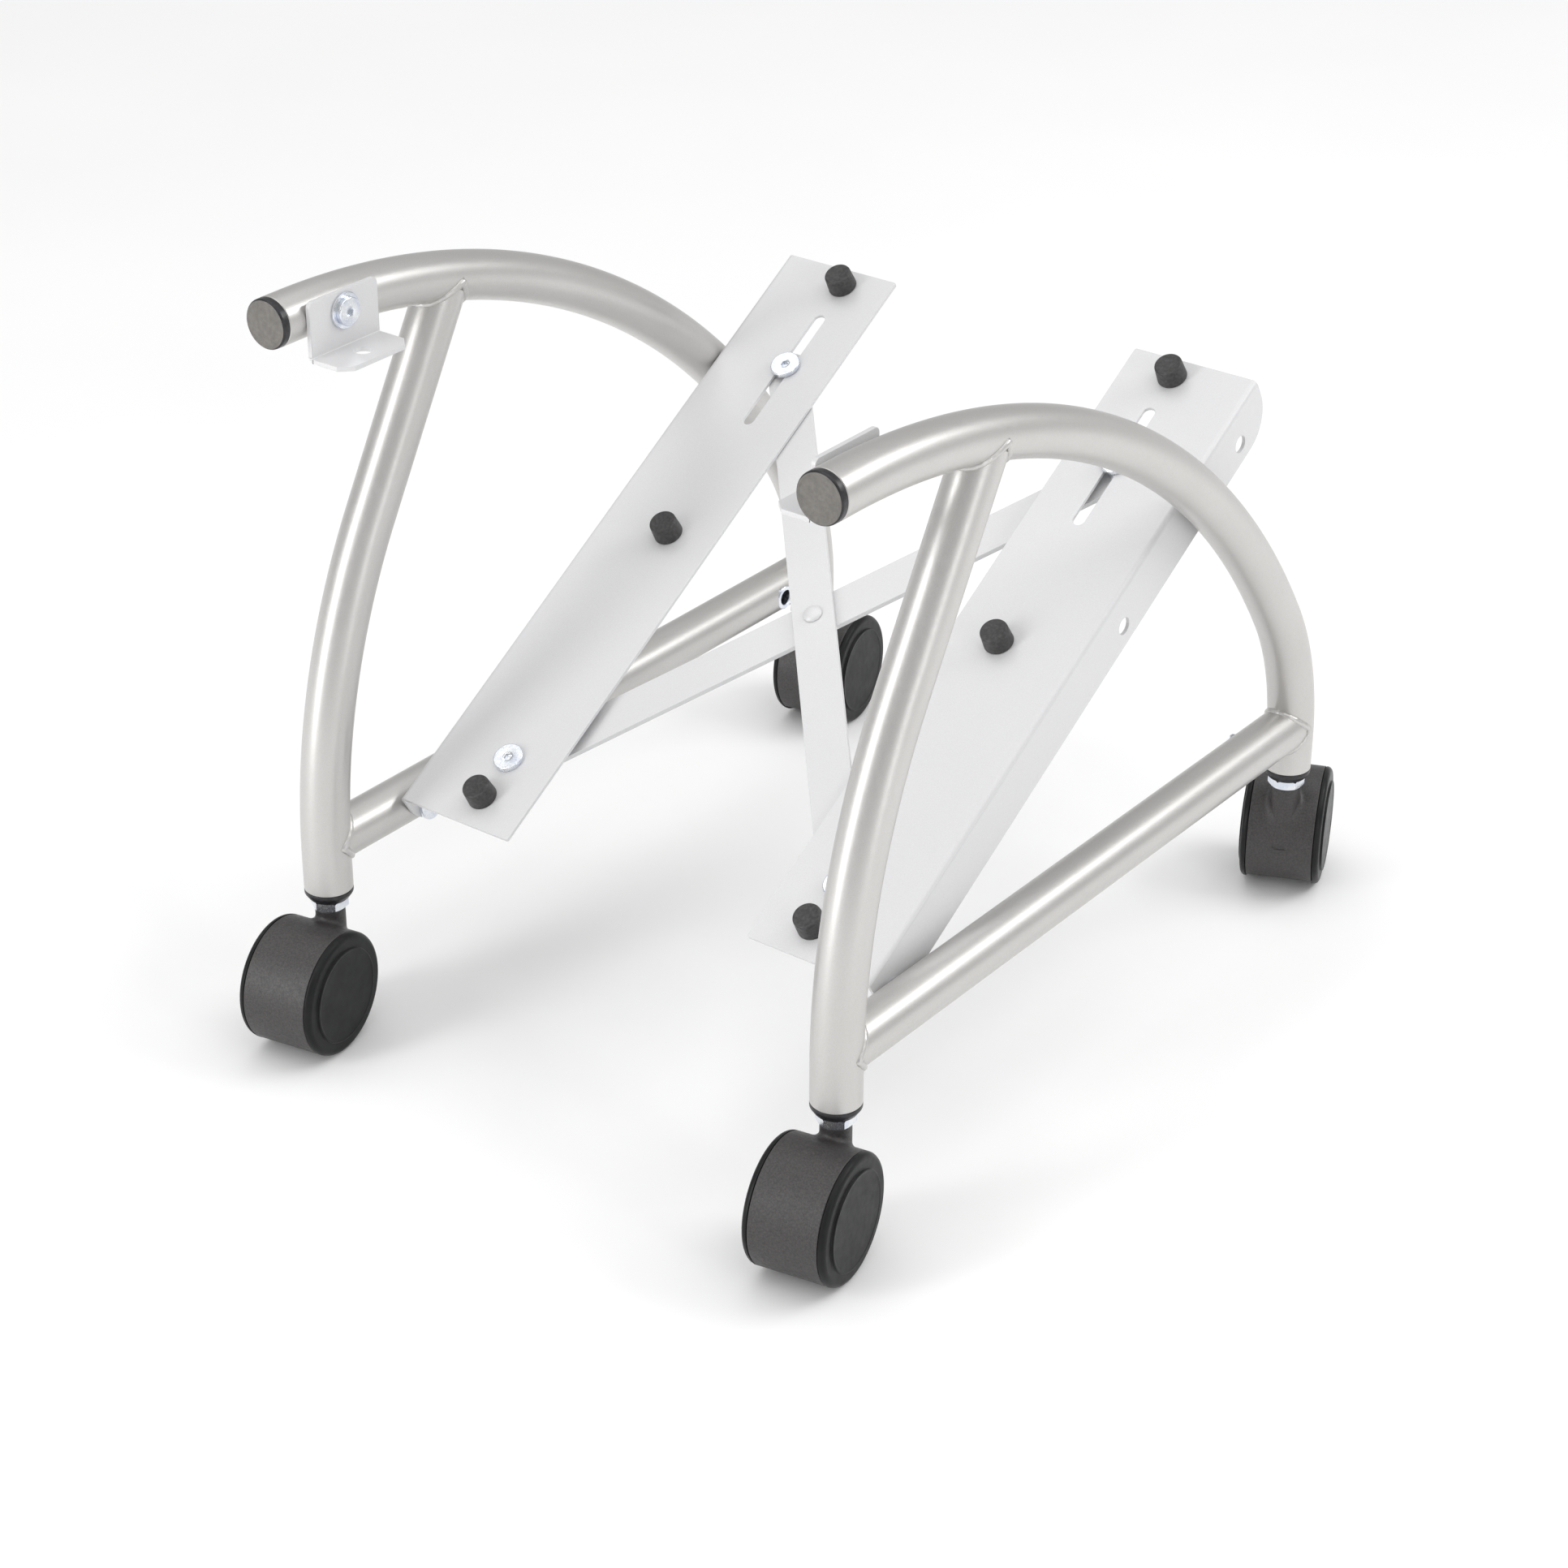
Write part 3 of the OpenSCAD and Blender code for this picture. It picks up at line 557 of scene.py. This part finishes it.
def to_front_leg(y, z):
    if z < FOOT_Z + LEG_FOOT:
        return abs(y - FRONT_Y)
    return abs((Vector((y, z)) - LEG_C).length - LEG_BEND_R)


def to_rear_leg(y, z):
    if z < REAR_C.y:
        return abs(y - REAR_Y)
    return abs((Vector((y, z)) - REAR_C).length - REAR_BEND_R)


def weld_bead(shape, start, along, to_centre_line, reach, radius=0.0019, ripples=26):
    """A bead round a tube where it meets another of the same size: start and along are its own
    centre line in the side plane, and the meeting point is found by halving the reach."""
    across = Vector((-along.y, along.x))
    count = ripples * 6
    line = []
    for i in range(count):
        a = 2 * math.pi * i / count
        out = Vector((math.sin(a), across.x * math.cos(a), across.y * math.cos(a)))
        low, high = 0.0, reach
        for _ in range(28):
            t = (low + high) / 2
            point = Vector((0, start.x + along.x * t, start.y + along.y * t)) + out * TUBE_R
            apart = math.hypot(point.x, to_centre_line(point.y, point.z))
            low, high = (t, high) if apart > TUBE_R else (low, t)
        line.append((point, out))
    rings = []
    for i, (point, out) in enumerate(line):
        ahead = (line[(i + 1) % count][0] - line[i - 1][0]).normalized()
        side = ahead.cross(out).normalized()
        turn = 2 * math.pi * i / count
        wobble = 1 + 0.035 * math.cos(turn * ripples) + 0.04 * math.sin(turn * 3)
        centre = point + Vector((SIDE_X, 0, 0)) - out * radius * 0.25
        rings.append([centre + radius * wobble * (c * out + s * side) for c, s in circle(1, 14)])
    shape.loft(rings, wrap=True)


def welds(side):
    """The weld beads of a side frame, under the same coat as the tubes."""
    shape = Shape()
    top = reach_to_arch(LEG_P, LEG_DIR)
    weld_bead(shape, LEG_P, LEG_DIR, to_arch, top)
    middle = Vector((FRONT_Y + REAR_Y, 2 * BASE_Z)) / 2
    half = (REAR_Y - FRONT_Y) / 2
    weld_bead(shape, middle, Vector((-1, 0)), to_front_leg, half)
    weld_bead(shape, middle, Vector((1, 0)), to_rear_leg, half - 0.002)
    made = shape.finish(f"{side}_weld_beads", [SILVER], smooth_angle=60, mirror=SIDES[side] < 0)
    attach(made, BODY_OF[f"{side}_arch_tube"])


def tube_cap(side):
    """Push-in cap: black rim, rounded edge, matt face a little sunk."""
    shape = Shape()
    forward = Matrix.Translation((SIDE_X, NOSE_Y, ARCH_Z)) @ Matrix.Rotation(math.pi / 2, 4, "X")
    rim = [(0.0, -0.012), (BORE_R - 0.0006, -0.012), (BORE_R, -0.011), (BORE_R, 0.0), (TUBE_R - 0.0003, 0.0),
           (TUBE_R - 0.0001, 0.0003), (TUBE_R - 0.0001, 0.0030)]
    rim += [(r, h) for r, h in arc((TUBE_R - 0.0015, 0.0030), 0.0014, 0, math.pi / 2, 6)]
    face = [(TUBE_R - 0.0020, 0.0042), (TUBE_R - 0.0024, 0.0040), (TUBE_R - 0.006, 0.0041), (0.0, 0.0043)]
    shape.lathe(rim + face, forward, material=lambda i: 1 if i >= len(rim) - 3 else 0)
    made = shape.finish(f"{side}_tube_cap_skin", [MOULDING, CAP_FACE], mirror=SIDES[side] < 0)
    dressed(made, f"{side}_tube_cap")


def leg_plugs(side):
    """Black plugs in the two lower tube ends, tapered towards the nut."""
    shape = Shape()
    for y in (FRONT_Y, REAR_Y):
        place = Matrix.Translation((SIDE_X, y, FOOT_Z))
        shape.lathe([
            (0.0051, 0.018), (BORE_R - 0.0005, 0.018), (BORE_R, 0.017), (BORE_R, 0.0),
            (TUBE_R - 0.0002, 0.0), (TUBE_R, -0.0003), (TUBE_R, -0.0020), (TUBE_R - 0.0003, -0.0026),
            (TUBE_R - 0.0019, -0.0050), (TUBE_R - 0.0024, -0.0055), (0.0051, -0.0055),
        ], place, wrap=True)
    dressed(shape.finish(f"{side}_leg_plugs_skin", [MOULDING], mirror=SIDES[side] < 0), f"{side}_leg_plugs")


# ---------------------------------------------------------------- fasteners

def add_nut(shape, place, flats, height, hole_r):
    """A hexagon nut with chamfered corners, from local Z = 0 up."""
    hexa, ring_r = hexagon(flats), flats / 2 * 0.97
    slope = math.tan(math.radians(30))

    def drop(a):
        return (hexa(a) - ring_r) * slope

    def ring(radius, level):
        return [(x, y, level(a)) for (x, y), a in
                zip(circle(radius, 72), [2 * math.pi * i / 72 for i in range(72)])]

    shape.loft([
        ring(hole_r, lambda a: 0.0006), ring(hole_r + 0.0006, lambda a: 0), ring(ring_r, lambda a: 0),
        ring(hexa, drop), ring(hexa, lambda a: height - drop(a)),
        ring(ring_r, lambda a: height), ring(hole_r + 0.0006, lambda a: height),
        ring(hole_r, lambda a: height - 0.0006),
    ], place, wrap=True)


def add_flat_bolt(shape, place, shank_r, head_r, head_h, shank):
    """A flat round head with a hexagon socket; the head stands on local Z = 0."""
    socket = hexagon(0.004)
    rings = [(0, -shank), (shank_r - 0.0006, -shank), (shank_r, -shank + 0.0006), (shank_r, 0),
             (head_r - 0.0003, 0), (head_r, 0.0003), (head_r, head_h - 0.0007)]
    rings += [(r, h) for r, h in arc((head_r - 0.0006, head_h - 0.0006), 0.0006, 0, math.pi / 2, 4)]
    rings += [(0.0031, head_h), (socket, head_h - 0.0004), (socket, head_h - 0.0018), (0, head_h - 0.0021)]
    shape.loft([[(x, y, h) for x, y in circle(r, 72)] for r, h in rings], place)


def on_face(x, s, n):
    """A place on a rail: across, along and off its face, with local Z off the face."""
    return ON_RAIL @ Matrix.Translation((x, s, n))


HEAD_R, HEAD_H = 0.008, 0.0024
SLIDE_GAP = 0.0003
BAR_T = 0.003
BAR_A_N = FACE_N - RAIL_T - SLIDE_GAP - BAR_T
BAR_B_N = BAR_A_N - SLIDE_GAP - BAR_T
NUT_H = 0.006

FACE_BOLTS = {
    # node start: (side, along the rail, seat of the head, underside that the nut bears on)
    "left_pivot": (-1, PIVOT_S, FACE_N, BAR_B_N - SLIDE_GAP),
    "right_pivot": (1, PIVOT_S, FACE_N, BAR_A_N - SLIDE_GAP),
    "left_slot": (-1, SLOT_BOLT_S, FACE_N + SLIDE_GAP, BAR_A_N),
    "right_slot": (1, SLOT_BOLT_S, FACE_N + SLIDE_GAP, BAR_B_N),
}


def face_bolts():
    """The pivot and slot bolts with their nuts."""
    for node, (side, s, seat, under) in FACE_BOLTS.items():
        x = side * PIVOT_X
        bolt = Shape()
        add_flat_bolt(bolt, on_face(x, s, seat), 0.003, HEAD_R, HEAD_H, seat - under + NUT_H + 0.001)
        dressed(bolt.finish(f"{node}_bolt_skin", [ZINC]), f"{node}_bolt")
        nut = Shape()
        add_nut(nut, on_face(x, s, under - NUT_H), 0.010, NUT_H, 0.003)
        dressed(nut.finish(f"{node}_nut_skin", [ZINC]), f"{node}_nut")


def rail_bolts(side):
    shape = Shape()
    for s in (0, ARCH_BOLT_S):
        place = on_face(RAIL_X - RAIL_T, s, 0) @ Matrix.Rotation(-math.pi / 2, 4, "Y")
        add_flat_bolt(shape, place, 0.004, HEAD_R, HEAD_H, 0.012)
    dressed(shape.finish(f"{side}_rail_bolts_skin", [ZINC], mirror=SIDES[side] < 0), f"{side}_rail_bolts")


def stem_nuts(side):
    shape = Shape()
    for y in (FRONT_Y, REAR_Y):
        add_nut(shape, Matrix.Translation((SIDE_X, y, FOOT_Z - 0.011)), 0.017, 0.0055, 0.005)
    dressed(shape.finish(f"{side}_stem_nuts_skin", [ZINC], mirror=SIDES[side] < 0), f"{side}_stem_nuts")


# ---------------------------------------------------------------- sheet metal

def fold_strip(shape, fold_r, thickness, length, place):
    """A quarter-round fold along local Y: it turns from local +X down to local -Z."""
    outer = arc((0, 0), fold_r, math.pi / 2, 0, 12)
    inner = arc((0, 0), fold_r - thickness, 0, math.pi / 2, 12)
    section = outer + inner
    ends = [(0.0, 0.0002), (0.0002, 0.0), (length - 0.0002, 0.0), (length, 0.0002)]
    middle_r = fold_r - thickness / 2
    rings = []
    for y, inset in ends:
        ring = []
        for p in section:
            r = p.length
            r += -inset if r > middle_r else inset
            q = p.normalized() * r
            ring.append((q.x, y, q.y))
        rings.append(ring)
    shape.loft(rings, place)


LAP = 0.0004


def rail(side):
    """An L-shaped rail: slotted face, rounded fold, flange with rounded lower corners."""
    shape = Shape()
    low, high = -RAIL_TAIL, RAIL_LEN - RAIL_TAIL
    face = rounded_box(RAIL_X - RAIL_W, low, RAIL_X - FOLD_R + LAP, high, (0.0012,) * 4, 4)
    slot = rounded_box(PIVOT_X - SLOT_W / 2, SLOT_S - SLOT_LEN / 2, PIVOT_X + SLOT_W / 2,
                       SLOT_S + SLOT_LEN / 2, (SLOT_W / 2 - 1e-5,) * 4, 8)
    holes = [slot, round_hole(PIVOT_X, PIVOT_S, 0.003)]
    holes += [round_hole(PIVOT_X, s, 0.003) for s in BUMPER_S]
    shape.plate(face, holes, RAIL_T, ON_RAIL @ Matrix.Translation((0, 0, FACE_N - RAIL_T / 2)))
    fold_at = ON_RAIL @ Matrix.Translation((RAIL_X - FOLD_R, low, FACE_N - FOLD_R))
    fold_strip(shape, FOLD_R, RAIL_T, RAIL_LEN, fold_at)
    flange = rounded_box(low, FACE_N - FLANGE_H, high, FACE_N - FOLD_R + LAP,
                         (FLANGE_CORNER_R, FLANGE_CORNER_R, 0.0002, 0.0002), 14)
    holes = [round_hole(s, 0, FLANGE_HOLE_R) for s in (0, ARCH_BOLT_S) + SPARE_HOLES_S]
    upright = Matrix(((0, 0, 1, RAIL_X - RAIL_T / 2), (1, 0, 0, 0), (0, 1, 0, 0), (0, 0, 0, 1)))
    shape.plate(flange, holes, RAIL_T, ON_RAIL @ upright)
    dressed(shape.finish(f"{side}_rail_skin", [PALE], mirror=SIDES[side] < 0), f"{side}_rail")


def bracket(side):
    """An L-bracket: upright bolted to the tube, level flange with one hole and clipped corners."""
    low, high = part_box("right_bracket")
    thickness, fold_r, clip = 0.0025, 0.0030, 0.006
    shape = Shape()
    mid_y = (low.y + high.y) / 2
    level = [Vector(p) for p in (
        (low.x + clip, low.y), (high.x - fold_r + LAP, low.y), (high.x - fold_r + LAP, high.y),
        (low.x + clip, high.y), (low.x, high.y - clip), (low.x, low.y + clip))]
    hole = round_hole((low.x + high.x - thickness) / 2, mid_y, 0.0045)
    shape.plate(level, [hole], thickness, Matrix.Translation((0, 0, low.z + thickness / 2)))
    turn = Matrix.Translation((high.x - fold_r, high.y, low.z + fold_r)) @ Matrix.Rotation(math.pi, 4, "X")
    fold_strip(shape, fold_r, thickness, high.y - low.y, turn)
    upright = rounded_box(low.y, low.z + fold_r - LAP, high.y, high.z, (0.0002, 0.0002, 0.003, 0.003), 8)
    bolt_y, bolt_z = bracket_bolt_place()
    stand = Matrix(((0, 0, 1, high.x - thickness / 2), (1, 0, 0, 0), (0, 1, 0, 0), (0, 0, 0, 1)))
    shape.plate(upright, [round_hole(bolt_y, bolt_z, 0.0033)], thickness, stand)
    dressed(shape.finish(f"{side}_bracket_skin", [PALE], mirror=SIDES[side] < 0), f"{side}_bracket")


def bracket_bolt_place():
    low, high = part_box("right_bracket_washer")
    return (low.y + high.y) / 2, (low.z + high.z) / 2


def bracket_bolt(side):
    """The bracket's bolt and its wide washer."""
    y, z = bracket_bolt_place()
    low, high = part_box("right_bracket_washer")
    inward = Matrix.Translation((high.x, y, z)) @ TO_MIDDLE
    thick = high.x - low.x
    washer = Shape()
    washer.lathe([(0.0033, 0.0), (0.0087, 0.0), (0.009, 0.0003), (0.009, thick - 0.0004), (0.0086, thick),
                  (0.0033, thick)], inward, wrap=True)
    name, mirror = f"{side}_bracket_washer", SIDES[side] < 0
    dressed(washer.finish(f"{name}_skin", [ZINC], mirror=mirror), name)
    bolt = Shape()
    add_flat_bolt(bolt, inward @ Matrix.Translation((0, 0, thick)), 0.003, 0.007, HEAD_H, 0.014)
    dressed(bolt.finish(f"{side}_bracket_bolt_skin", [ZINC], mirror=SIDES[side] < 0), f"{side}_bracket_bolt")


def thread_inserts(side):
    """Inserts in the tube's inner wall; the spare one shows its flange."""
    shape = Shape()
    bolt_y, bolt_z = bracket_bolt_place()
    rail_dir = Vector((math.cos(RAIL_TILT), math.sin(RAIL_TILT)))
    places = [(RAIL_P, INSERT_R, 0.004), (RAIL_P + rail_dir * ARCH_BOLT_S, INSERT_R, 0.004),
              (Vector((bolt_y, bolt_z)), 0.0045, 0.003), (SPARE_INSERT, INSERT_R, 0.004)]
    for p, outer, hole in places:
        inward = Matrix.Translation((SIDE_X - TUBE_R + 0.010, *p)) @ TO_MIDDLE
        profile = [(hole, 0.0), (outer - 0.0004, 0.0), (outer, 0.0004), (outer, 0.0095),
                   (outer - 0.0002, 0.0098), (hole + 0.0006, 0.0098), (hole, 0.0092)]
        if p is SPARE_INSERT:
            profile[3:6] = [(outer, 0.0088), (FLANGED_INSERT_R, 0.0090), (FLANGED_INSERT_R, 0.0098),
                            (FLANGED_INSERT_R - 0.0003, 0.0101), (hole + 0.0006, 0.0101)]
        shape.lathe(profile, inward, count=48, wrap=True)
    made = shape.finish(f"{side}_thread_inserts_skin", [ZINC], mirror=SIDES[side] < 0)
    dressed(made, f"{side}_thread_inserts")


def bumpers(side):
    """Rubber bumpers with a soft top edge and a slightly dished top."""
    shape = Shape()
    top, foot_r, top_r, soft = 0.010, 0.00775, 0.00725, 0.0011
    for s in BUMPER_S:
        profile = [(0, -0.0040), (0.0025, -0.0040), (0.0040, -0.0020), (0.0030, -0.0020), (0.0030, 0.0),
                   (foot_r - 0.0003, 0.0), (foot_r, 0.0003)]
        profile += [(r, h) for r, h in arc((top_r - soft, top - soft), soft, 0, math.pi / 2, 6)]
        profile += [(top_r - 0.0022, top - 0.0003), (0, top - 0.0005)]
        shape.lathe(profile, on_face(PIVOT_X, s, FACE_N), count=56)
    dressed(shape.finish(f"{side}_bumpers_skin", [RUBBER], mirror=SIDES[side] < 0), f"{side}_bumpers")


def scissor_bars():
    """The two flat bars of the brace and the rivet in their middle."""
    half_w = 0.011
    d_s = SLOT_BOLT_S - PIVOT_S
    half_len = math.hypot(2 * PIVOT_X, d_s) / 2
    angle = math.atan2(d_s, 2 * PIVOT_X)
    mid_s = (PIVOT_S + SLOT_BOLT_S) / 2
    outline = arc((half_len, 0), half_w, -math.pi / 2, math.pi / 2, 20)
    outline += arc((-half_len, 0), half_w, math.pi / 2, 3 * math.pi / 2, 20)
    for name, n, turn in (("scissor_bar_a", BAR_A_N, -angle), ("scissor_bar_b", BAR_B_N, angle)):
        shape = Shape()
        holes = [round_hole(x, 0, 0.003) for x in (-half_len, 0, half_len)]
        place = on_face(0, mid_s, n + BAR_T / 2) @ Matrix.Rotation(turn, 4, "Z")
        shape.plate(outline, holes, BAR_T, place)
        dressed(shape.finish(f"{name}_skin", [PALE]), name)
    rivet = Shape()
    top = BAR_A_N + BAR_T + SLIDE_GAP
    low = BAR_B_N
    dome = [(0.0050, 0.0), (0.0049, 0.0005), (0.0044, 0.0011),
            (0.0034, 0.0016), (0.0018, 0.0019), (0, 0.0020)]
    profile = [(r, low - h) for r, h in reversed(dome)] + [(0.003, low), (0.003, top)]
    profile += [(r, top + h) for r, h in dome]
    rivet.lathe(profile, on_face(0, mid_s, 0), count=48)
    dressed(rivet.finish("scissor_rivet_skin", [PALE]), "scissor_rivet")


# ---------------------------------------------------------------- castors

def castor_place(end, side):
    """The castor's own frame: local Z on the swivel axis, wheels behind at local -Y."""
    axis = JOINTS[f"{end}_{side}_outer_roll"]["axis"]
    yaw = math.atan2(axis[1], axis[0]) + (0 if end == "front" else math.pi)
    x, y, _ = JOINTS[f"{end}_{side}_swivel"]["pos_m"]
    return Matrix.Translation((x, y, 0)) @ Matrix.Rotation(yaw, 4, "Z")


def barrel_height(x, y):
    """Height of the hood's round top over a point of the floor, near the boss."""
    return WHEEL_R + math.sqrt(max(WHEEL_R ** 2 - (y + TRAIL) ** 2, 0))


def add_barrel(shape, place):
    """The hood's barrel round the wheels, open at the bottom, with soft outer edges."""
    soft, inner_r = 0.0005, WHEEL_R - HOOD_WALL
    section = arc((HOOD_HALF_W - soft, WHEEL_R - soft), soft, 0, math.pi / 2, 5)
    section += [Vector((x, WHEEL_R)) for x in (0.012, 0.006, 0, -0.006, -0.012)]
    section += arc((-HOOD_HALF_W + soft, WHEEL_R - soft), soft, math.pi / 2, math.pi, 5)
    section += [Vector((-HOOD_HALF_W, inner_r)), Vector((HOOD_HALF_W, inner_r))]
    rings = []
    steps = 96
    for i in range(steps + 1):
        ring = []
        for p in section:
            end = math.acos((HOOD_LIFT - WHEEL_R) / p.y)
            a = end * (2 * i / steps - 1)
            ring.append((p.x, -TRAIL + p.y * math.sin(a), WHEEL_R + p.y * math.cos(a)))
        rings.append(ring)
    shape.loft(rings, place)


def add_boss(shape, place):
    """The upright boss round the swivel pin, run into the barrel by a fillet."""
    count, fillet, hole_r, floor = 72, 0.0036, 0.00405, 0.0412
    rings = [[(hole_r * c, hole_r * s, floor) for c, s in circle(1, count)],
             [(hole_r * c, hole_r * s, BOSS_TOP - 0.0004) for c, s in circle(1, count)]]
    top_edge = reversed(arc((BOSS_R - 0.0008, BOSS_TOP - 0.0008), 0.0008, 0, math.pi / 2, 5))
    for r, h in [(hole_r + 0.0004, BOSS_TOP), *top_edge]:
        rings.append([(r * c, r * s, h) for c, s in circle(1, count)])
    for a in [math.pi / 2 * (1 - k / 8) for k in range(9)]:
        reach = BOSS_R + fillet * (1 - math.sin(a))
        ring = []
        for c, s in circle(1, count):
            x, y = reach * c, reach * s
            ring.append((x, y, barrel_height(x, y) + fillet * (1 - math.cos(a))))
        rings.append(ring)
    base = BOSS_R + fillet
    rings.append([(x, y, barrel_height(x, y) - 0.0008) for x, y in circle(base, count)])
    rings.append([(hole_r * c, hole_r * s, 0.0392) for c, s in circle(1, count)])
    shape.loft(rings, place)


def hood(end, side):
    place = castor_place(end, side)
    shape = Shape()
    add_barrel(shape, place)
    add_boss(shape, place)
    inner_r = WHEEL_R - HOOD_WALL / 2
    reach = math.acos((HOOD_LIFT - WHEEL_R) / inner_r)
    web = [Vector((-TRAIL + inner_r * math.sin(a), WHEEL_R + inner_r * math.cos(a)))
           for a in [reach * (1 - 2 * i / 60) for i in range(61)]]
    upright = Matrix(((0, 0, 1, 0), (1, 0, 0, 0), (0, 1, 0, 0), (0, 0, 0, 1)))
    shape.plate(web, [round_hole(-TRAIL, WHEEL_R, 0.003)], 0.003, place @ upright)
    name = f"{end}_{side}_hood"
    dressed(shape.finish(f"{name}_skin", [HOOD], smooth_angle=40), name)


def wheel(end, side, which):
    """A wheel: rim beside the hood, rounded shoulder, lipped and slightly domed disc, hub inside."""
    outward = 1 if (which == "outer") == (side == "right") else -1
    if end == "rear":
        outward = -outward
    turn = Matrix.Rotation(math.pi / 2 * outward, 4, "Y")
    place = castor_place(end, side) @ Matrix.Translation((0, -TRAIL, WHEEL_R)) @ turn
    rim, ring, shoulder = HALF_W - RIM_W, HALF_W - DISC_STEP, 0.0030
    hub, back = 0.0055, HALF_W - DISC_STEP - 0.003
    profile = [(0, back), (0.00305, back), (0.00305, 0.0028), (hub, 0.0028), (hub, back - 0.0003),
               (0.0258, back), (0.0260, back - 0.0002), (0.0260, 0.0082), (0.0262, 0.0080), (0.0293, 0.0080),
               (0.0295, 0.0082), (0.0295, rim), (WHEEL_R - 0.0002, rim), (WHEEL_R, rim + 0.0002)]
    profile += [(r, h) for r, h in arc((WHEEL_R - shoulder, ring - shoulder), shoulder, 0, math.pi / 2, 10)]
    profile += [(r, h) for r, h in arc((DISC_R + 0.0005, ring + 0.0005), 0.0005, -math.pi / 2, -math.pi, 4)]
    profile += [(r, h) for r, h in arc((DISC_R - 0.0006, HALF_W - 0.0006), 0.0006, 0, math.pi / 2, 5)]
    profile += [(DISC_R - 0.0012, HALF_W - 0.0001), (DISC_R - 0.0020, HALF_W - 0.0003),
                (0.018, HALF_W - 0.0003), (0, HALF_W - 0.0003)]
    shape = Shape()
    shape.lathe(profile, place, count=96)
    name = f"{end}_{side}_{which}_wheel"
    dressed(shape.finish(f"{name}_skin", [WHEEL]), name)


# ---------------------------------------------------------------- stage, light, camera

CAMERA_TARGET = Vector((-0.0423, 0.0222, 0.0788))
CAMERA_AZIMUTH = math.radians(37.17)
CAMERA_ELEVATION = math.radians(28.755)
CAMERA_ROLL = math.radians(0.207)
CAMERA_DISTANCE = 1.9323
CAMERA_LENS = 83.2


def camera():
    data = bpy.data.cameras.new("camera")
    data.lens = CAMERA_LENS
    data.sensor_width = 36
    data.clip_start = 0.05
    data.clip_end = 50
    made = bpy.data.objects.new("camera", data)
    bpy.context.scene.collection.objects.link(made)
    back = Vector((math.sin(CAMERA_AZIMUTH) * math.cos(CAMERA_ELEVATION),
                   -math.cos(CAMERA_AZIMUTH) * math.cos(CAMERA_ELEVATION), math.sin(CAMERA_ELEVATION)))
    right = Vector((0, 0, 1)).cross(back).normalized()
    up = back.cross(right)
    turned = Matrix((right, up, back)).transposed() @ Matrix.Rotation(CAMERA_ROLL, 3, "Z")
    made.matrix_world = Matrix.Translation(CAMERA_TARGET + back * CAMERA_DISTANCE) @ turned.to_4x4()
    bpy.context.scene.camera = made


def floor():
    shape = Shape()
    half = 20
    corners = [(-half, -half), (half, -half), (half, half), (-half, half)]
    shape.loft([[(x, y, z) for x, y in corners] for z in (-0.02, 0.0)])
    finish = Finish("studio_floor", (0.95, 0.95, 0.95), 0.8)
    pale_shades = [(0.3, (0.94, 0.94, 0.94)), (0.7, (0.96, 0.96, 0.96))]
    finish.set("Base Color", finish.ramp(finish.noise(3, 2), pale_shades))
    shape.finish("studio_floor", [finish.material])


def softbox(name, place, target, width, height, power):
    data = bpy.data.lights.new(name, "AREA")
    data.shape = "RECTANGLE"
    data.size = width
    data.size_y = height
    data.energy = power
    made = bpy.data.objects.new(name, data)
    made.location = place
    made.rotation_euler = (Vector(target) - Vector(place)).to_track_quat("-Z", "Y").to_euler()
    made.visible_camera = False
    bpy.context.scene.collection.objects.link(made)


def lights():
    aim = (0, 0, 0.2)
    softbox("key_strip", (-0.75, -1.9, 0.8), aim, 0.5, 1.6, 17)
    softbox("side_strip", (1.9, -0.5, 0.7), aim, 0.25, 1.4, 4)
    softbox("back_strip", (1.3, 1.15, 1.5), aim, 1.2, 0.5, 13)
    overhead = bpy.data.lights.new("overhead_diffuser", "SUN")
    overhead.energy = 1.2
    overhead.angle = math.radians(80)
    bpy.context.scene.collection.objects.link(bpy.data.objects.new("overhead_diffuser", overhead))
    world = bpy.data.worlds.new("studio")
    world.use_nodes = True
    background = world.node_tree.nodes["Background"]
    background.inputs["Color"].default_value = (1, 1, 1, 1)
    background.inputs["Strength"].default_value = 0.5
    bpy.context.scene.world = world
    view = bpy.context.scene.view_settings
    view.view_transform = "Standard"
    view.look = "None"


# ---------------------------------------------------------------- build

camera()
floor()
lights()
paint_cad_nodes()
for side in SIDES:
    tubes(side)
    welds(side)
    tube_cap(side)
    leg_plugs(side)
    stem_nuts(side)
    rail(side)
    rail_bolts(side)
    bumpers(side)
    bracket(side)
    bracket_bolt(side)
    thread_inserts(side)
face_bolts()
scissor_bars()
for end, side in CASTORS:
    hood(end, side)
    for which in ("outer", "inner"):
        wheel(end, side, which)
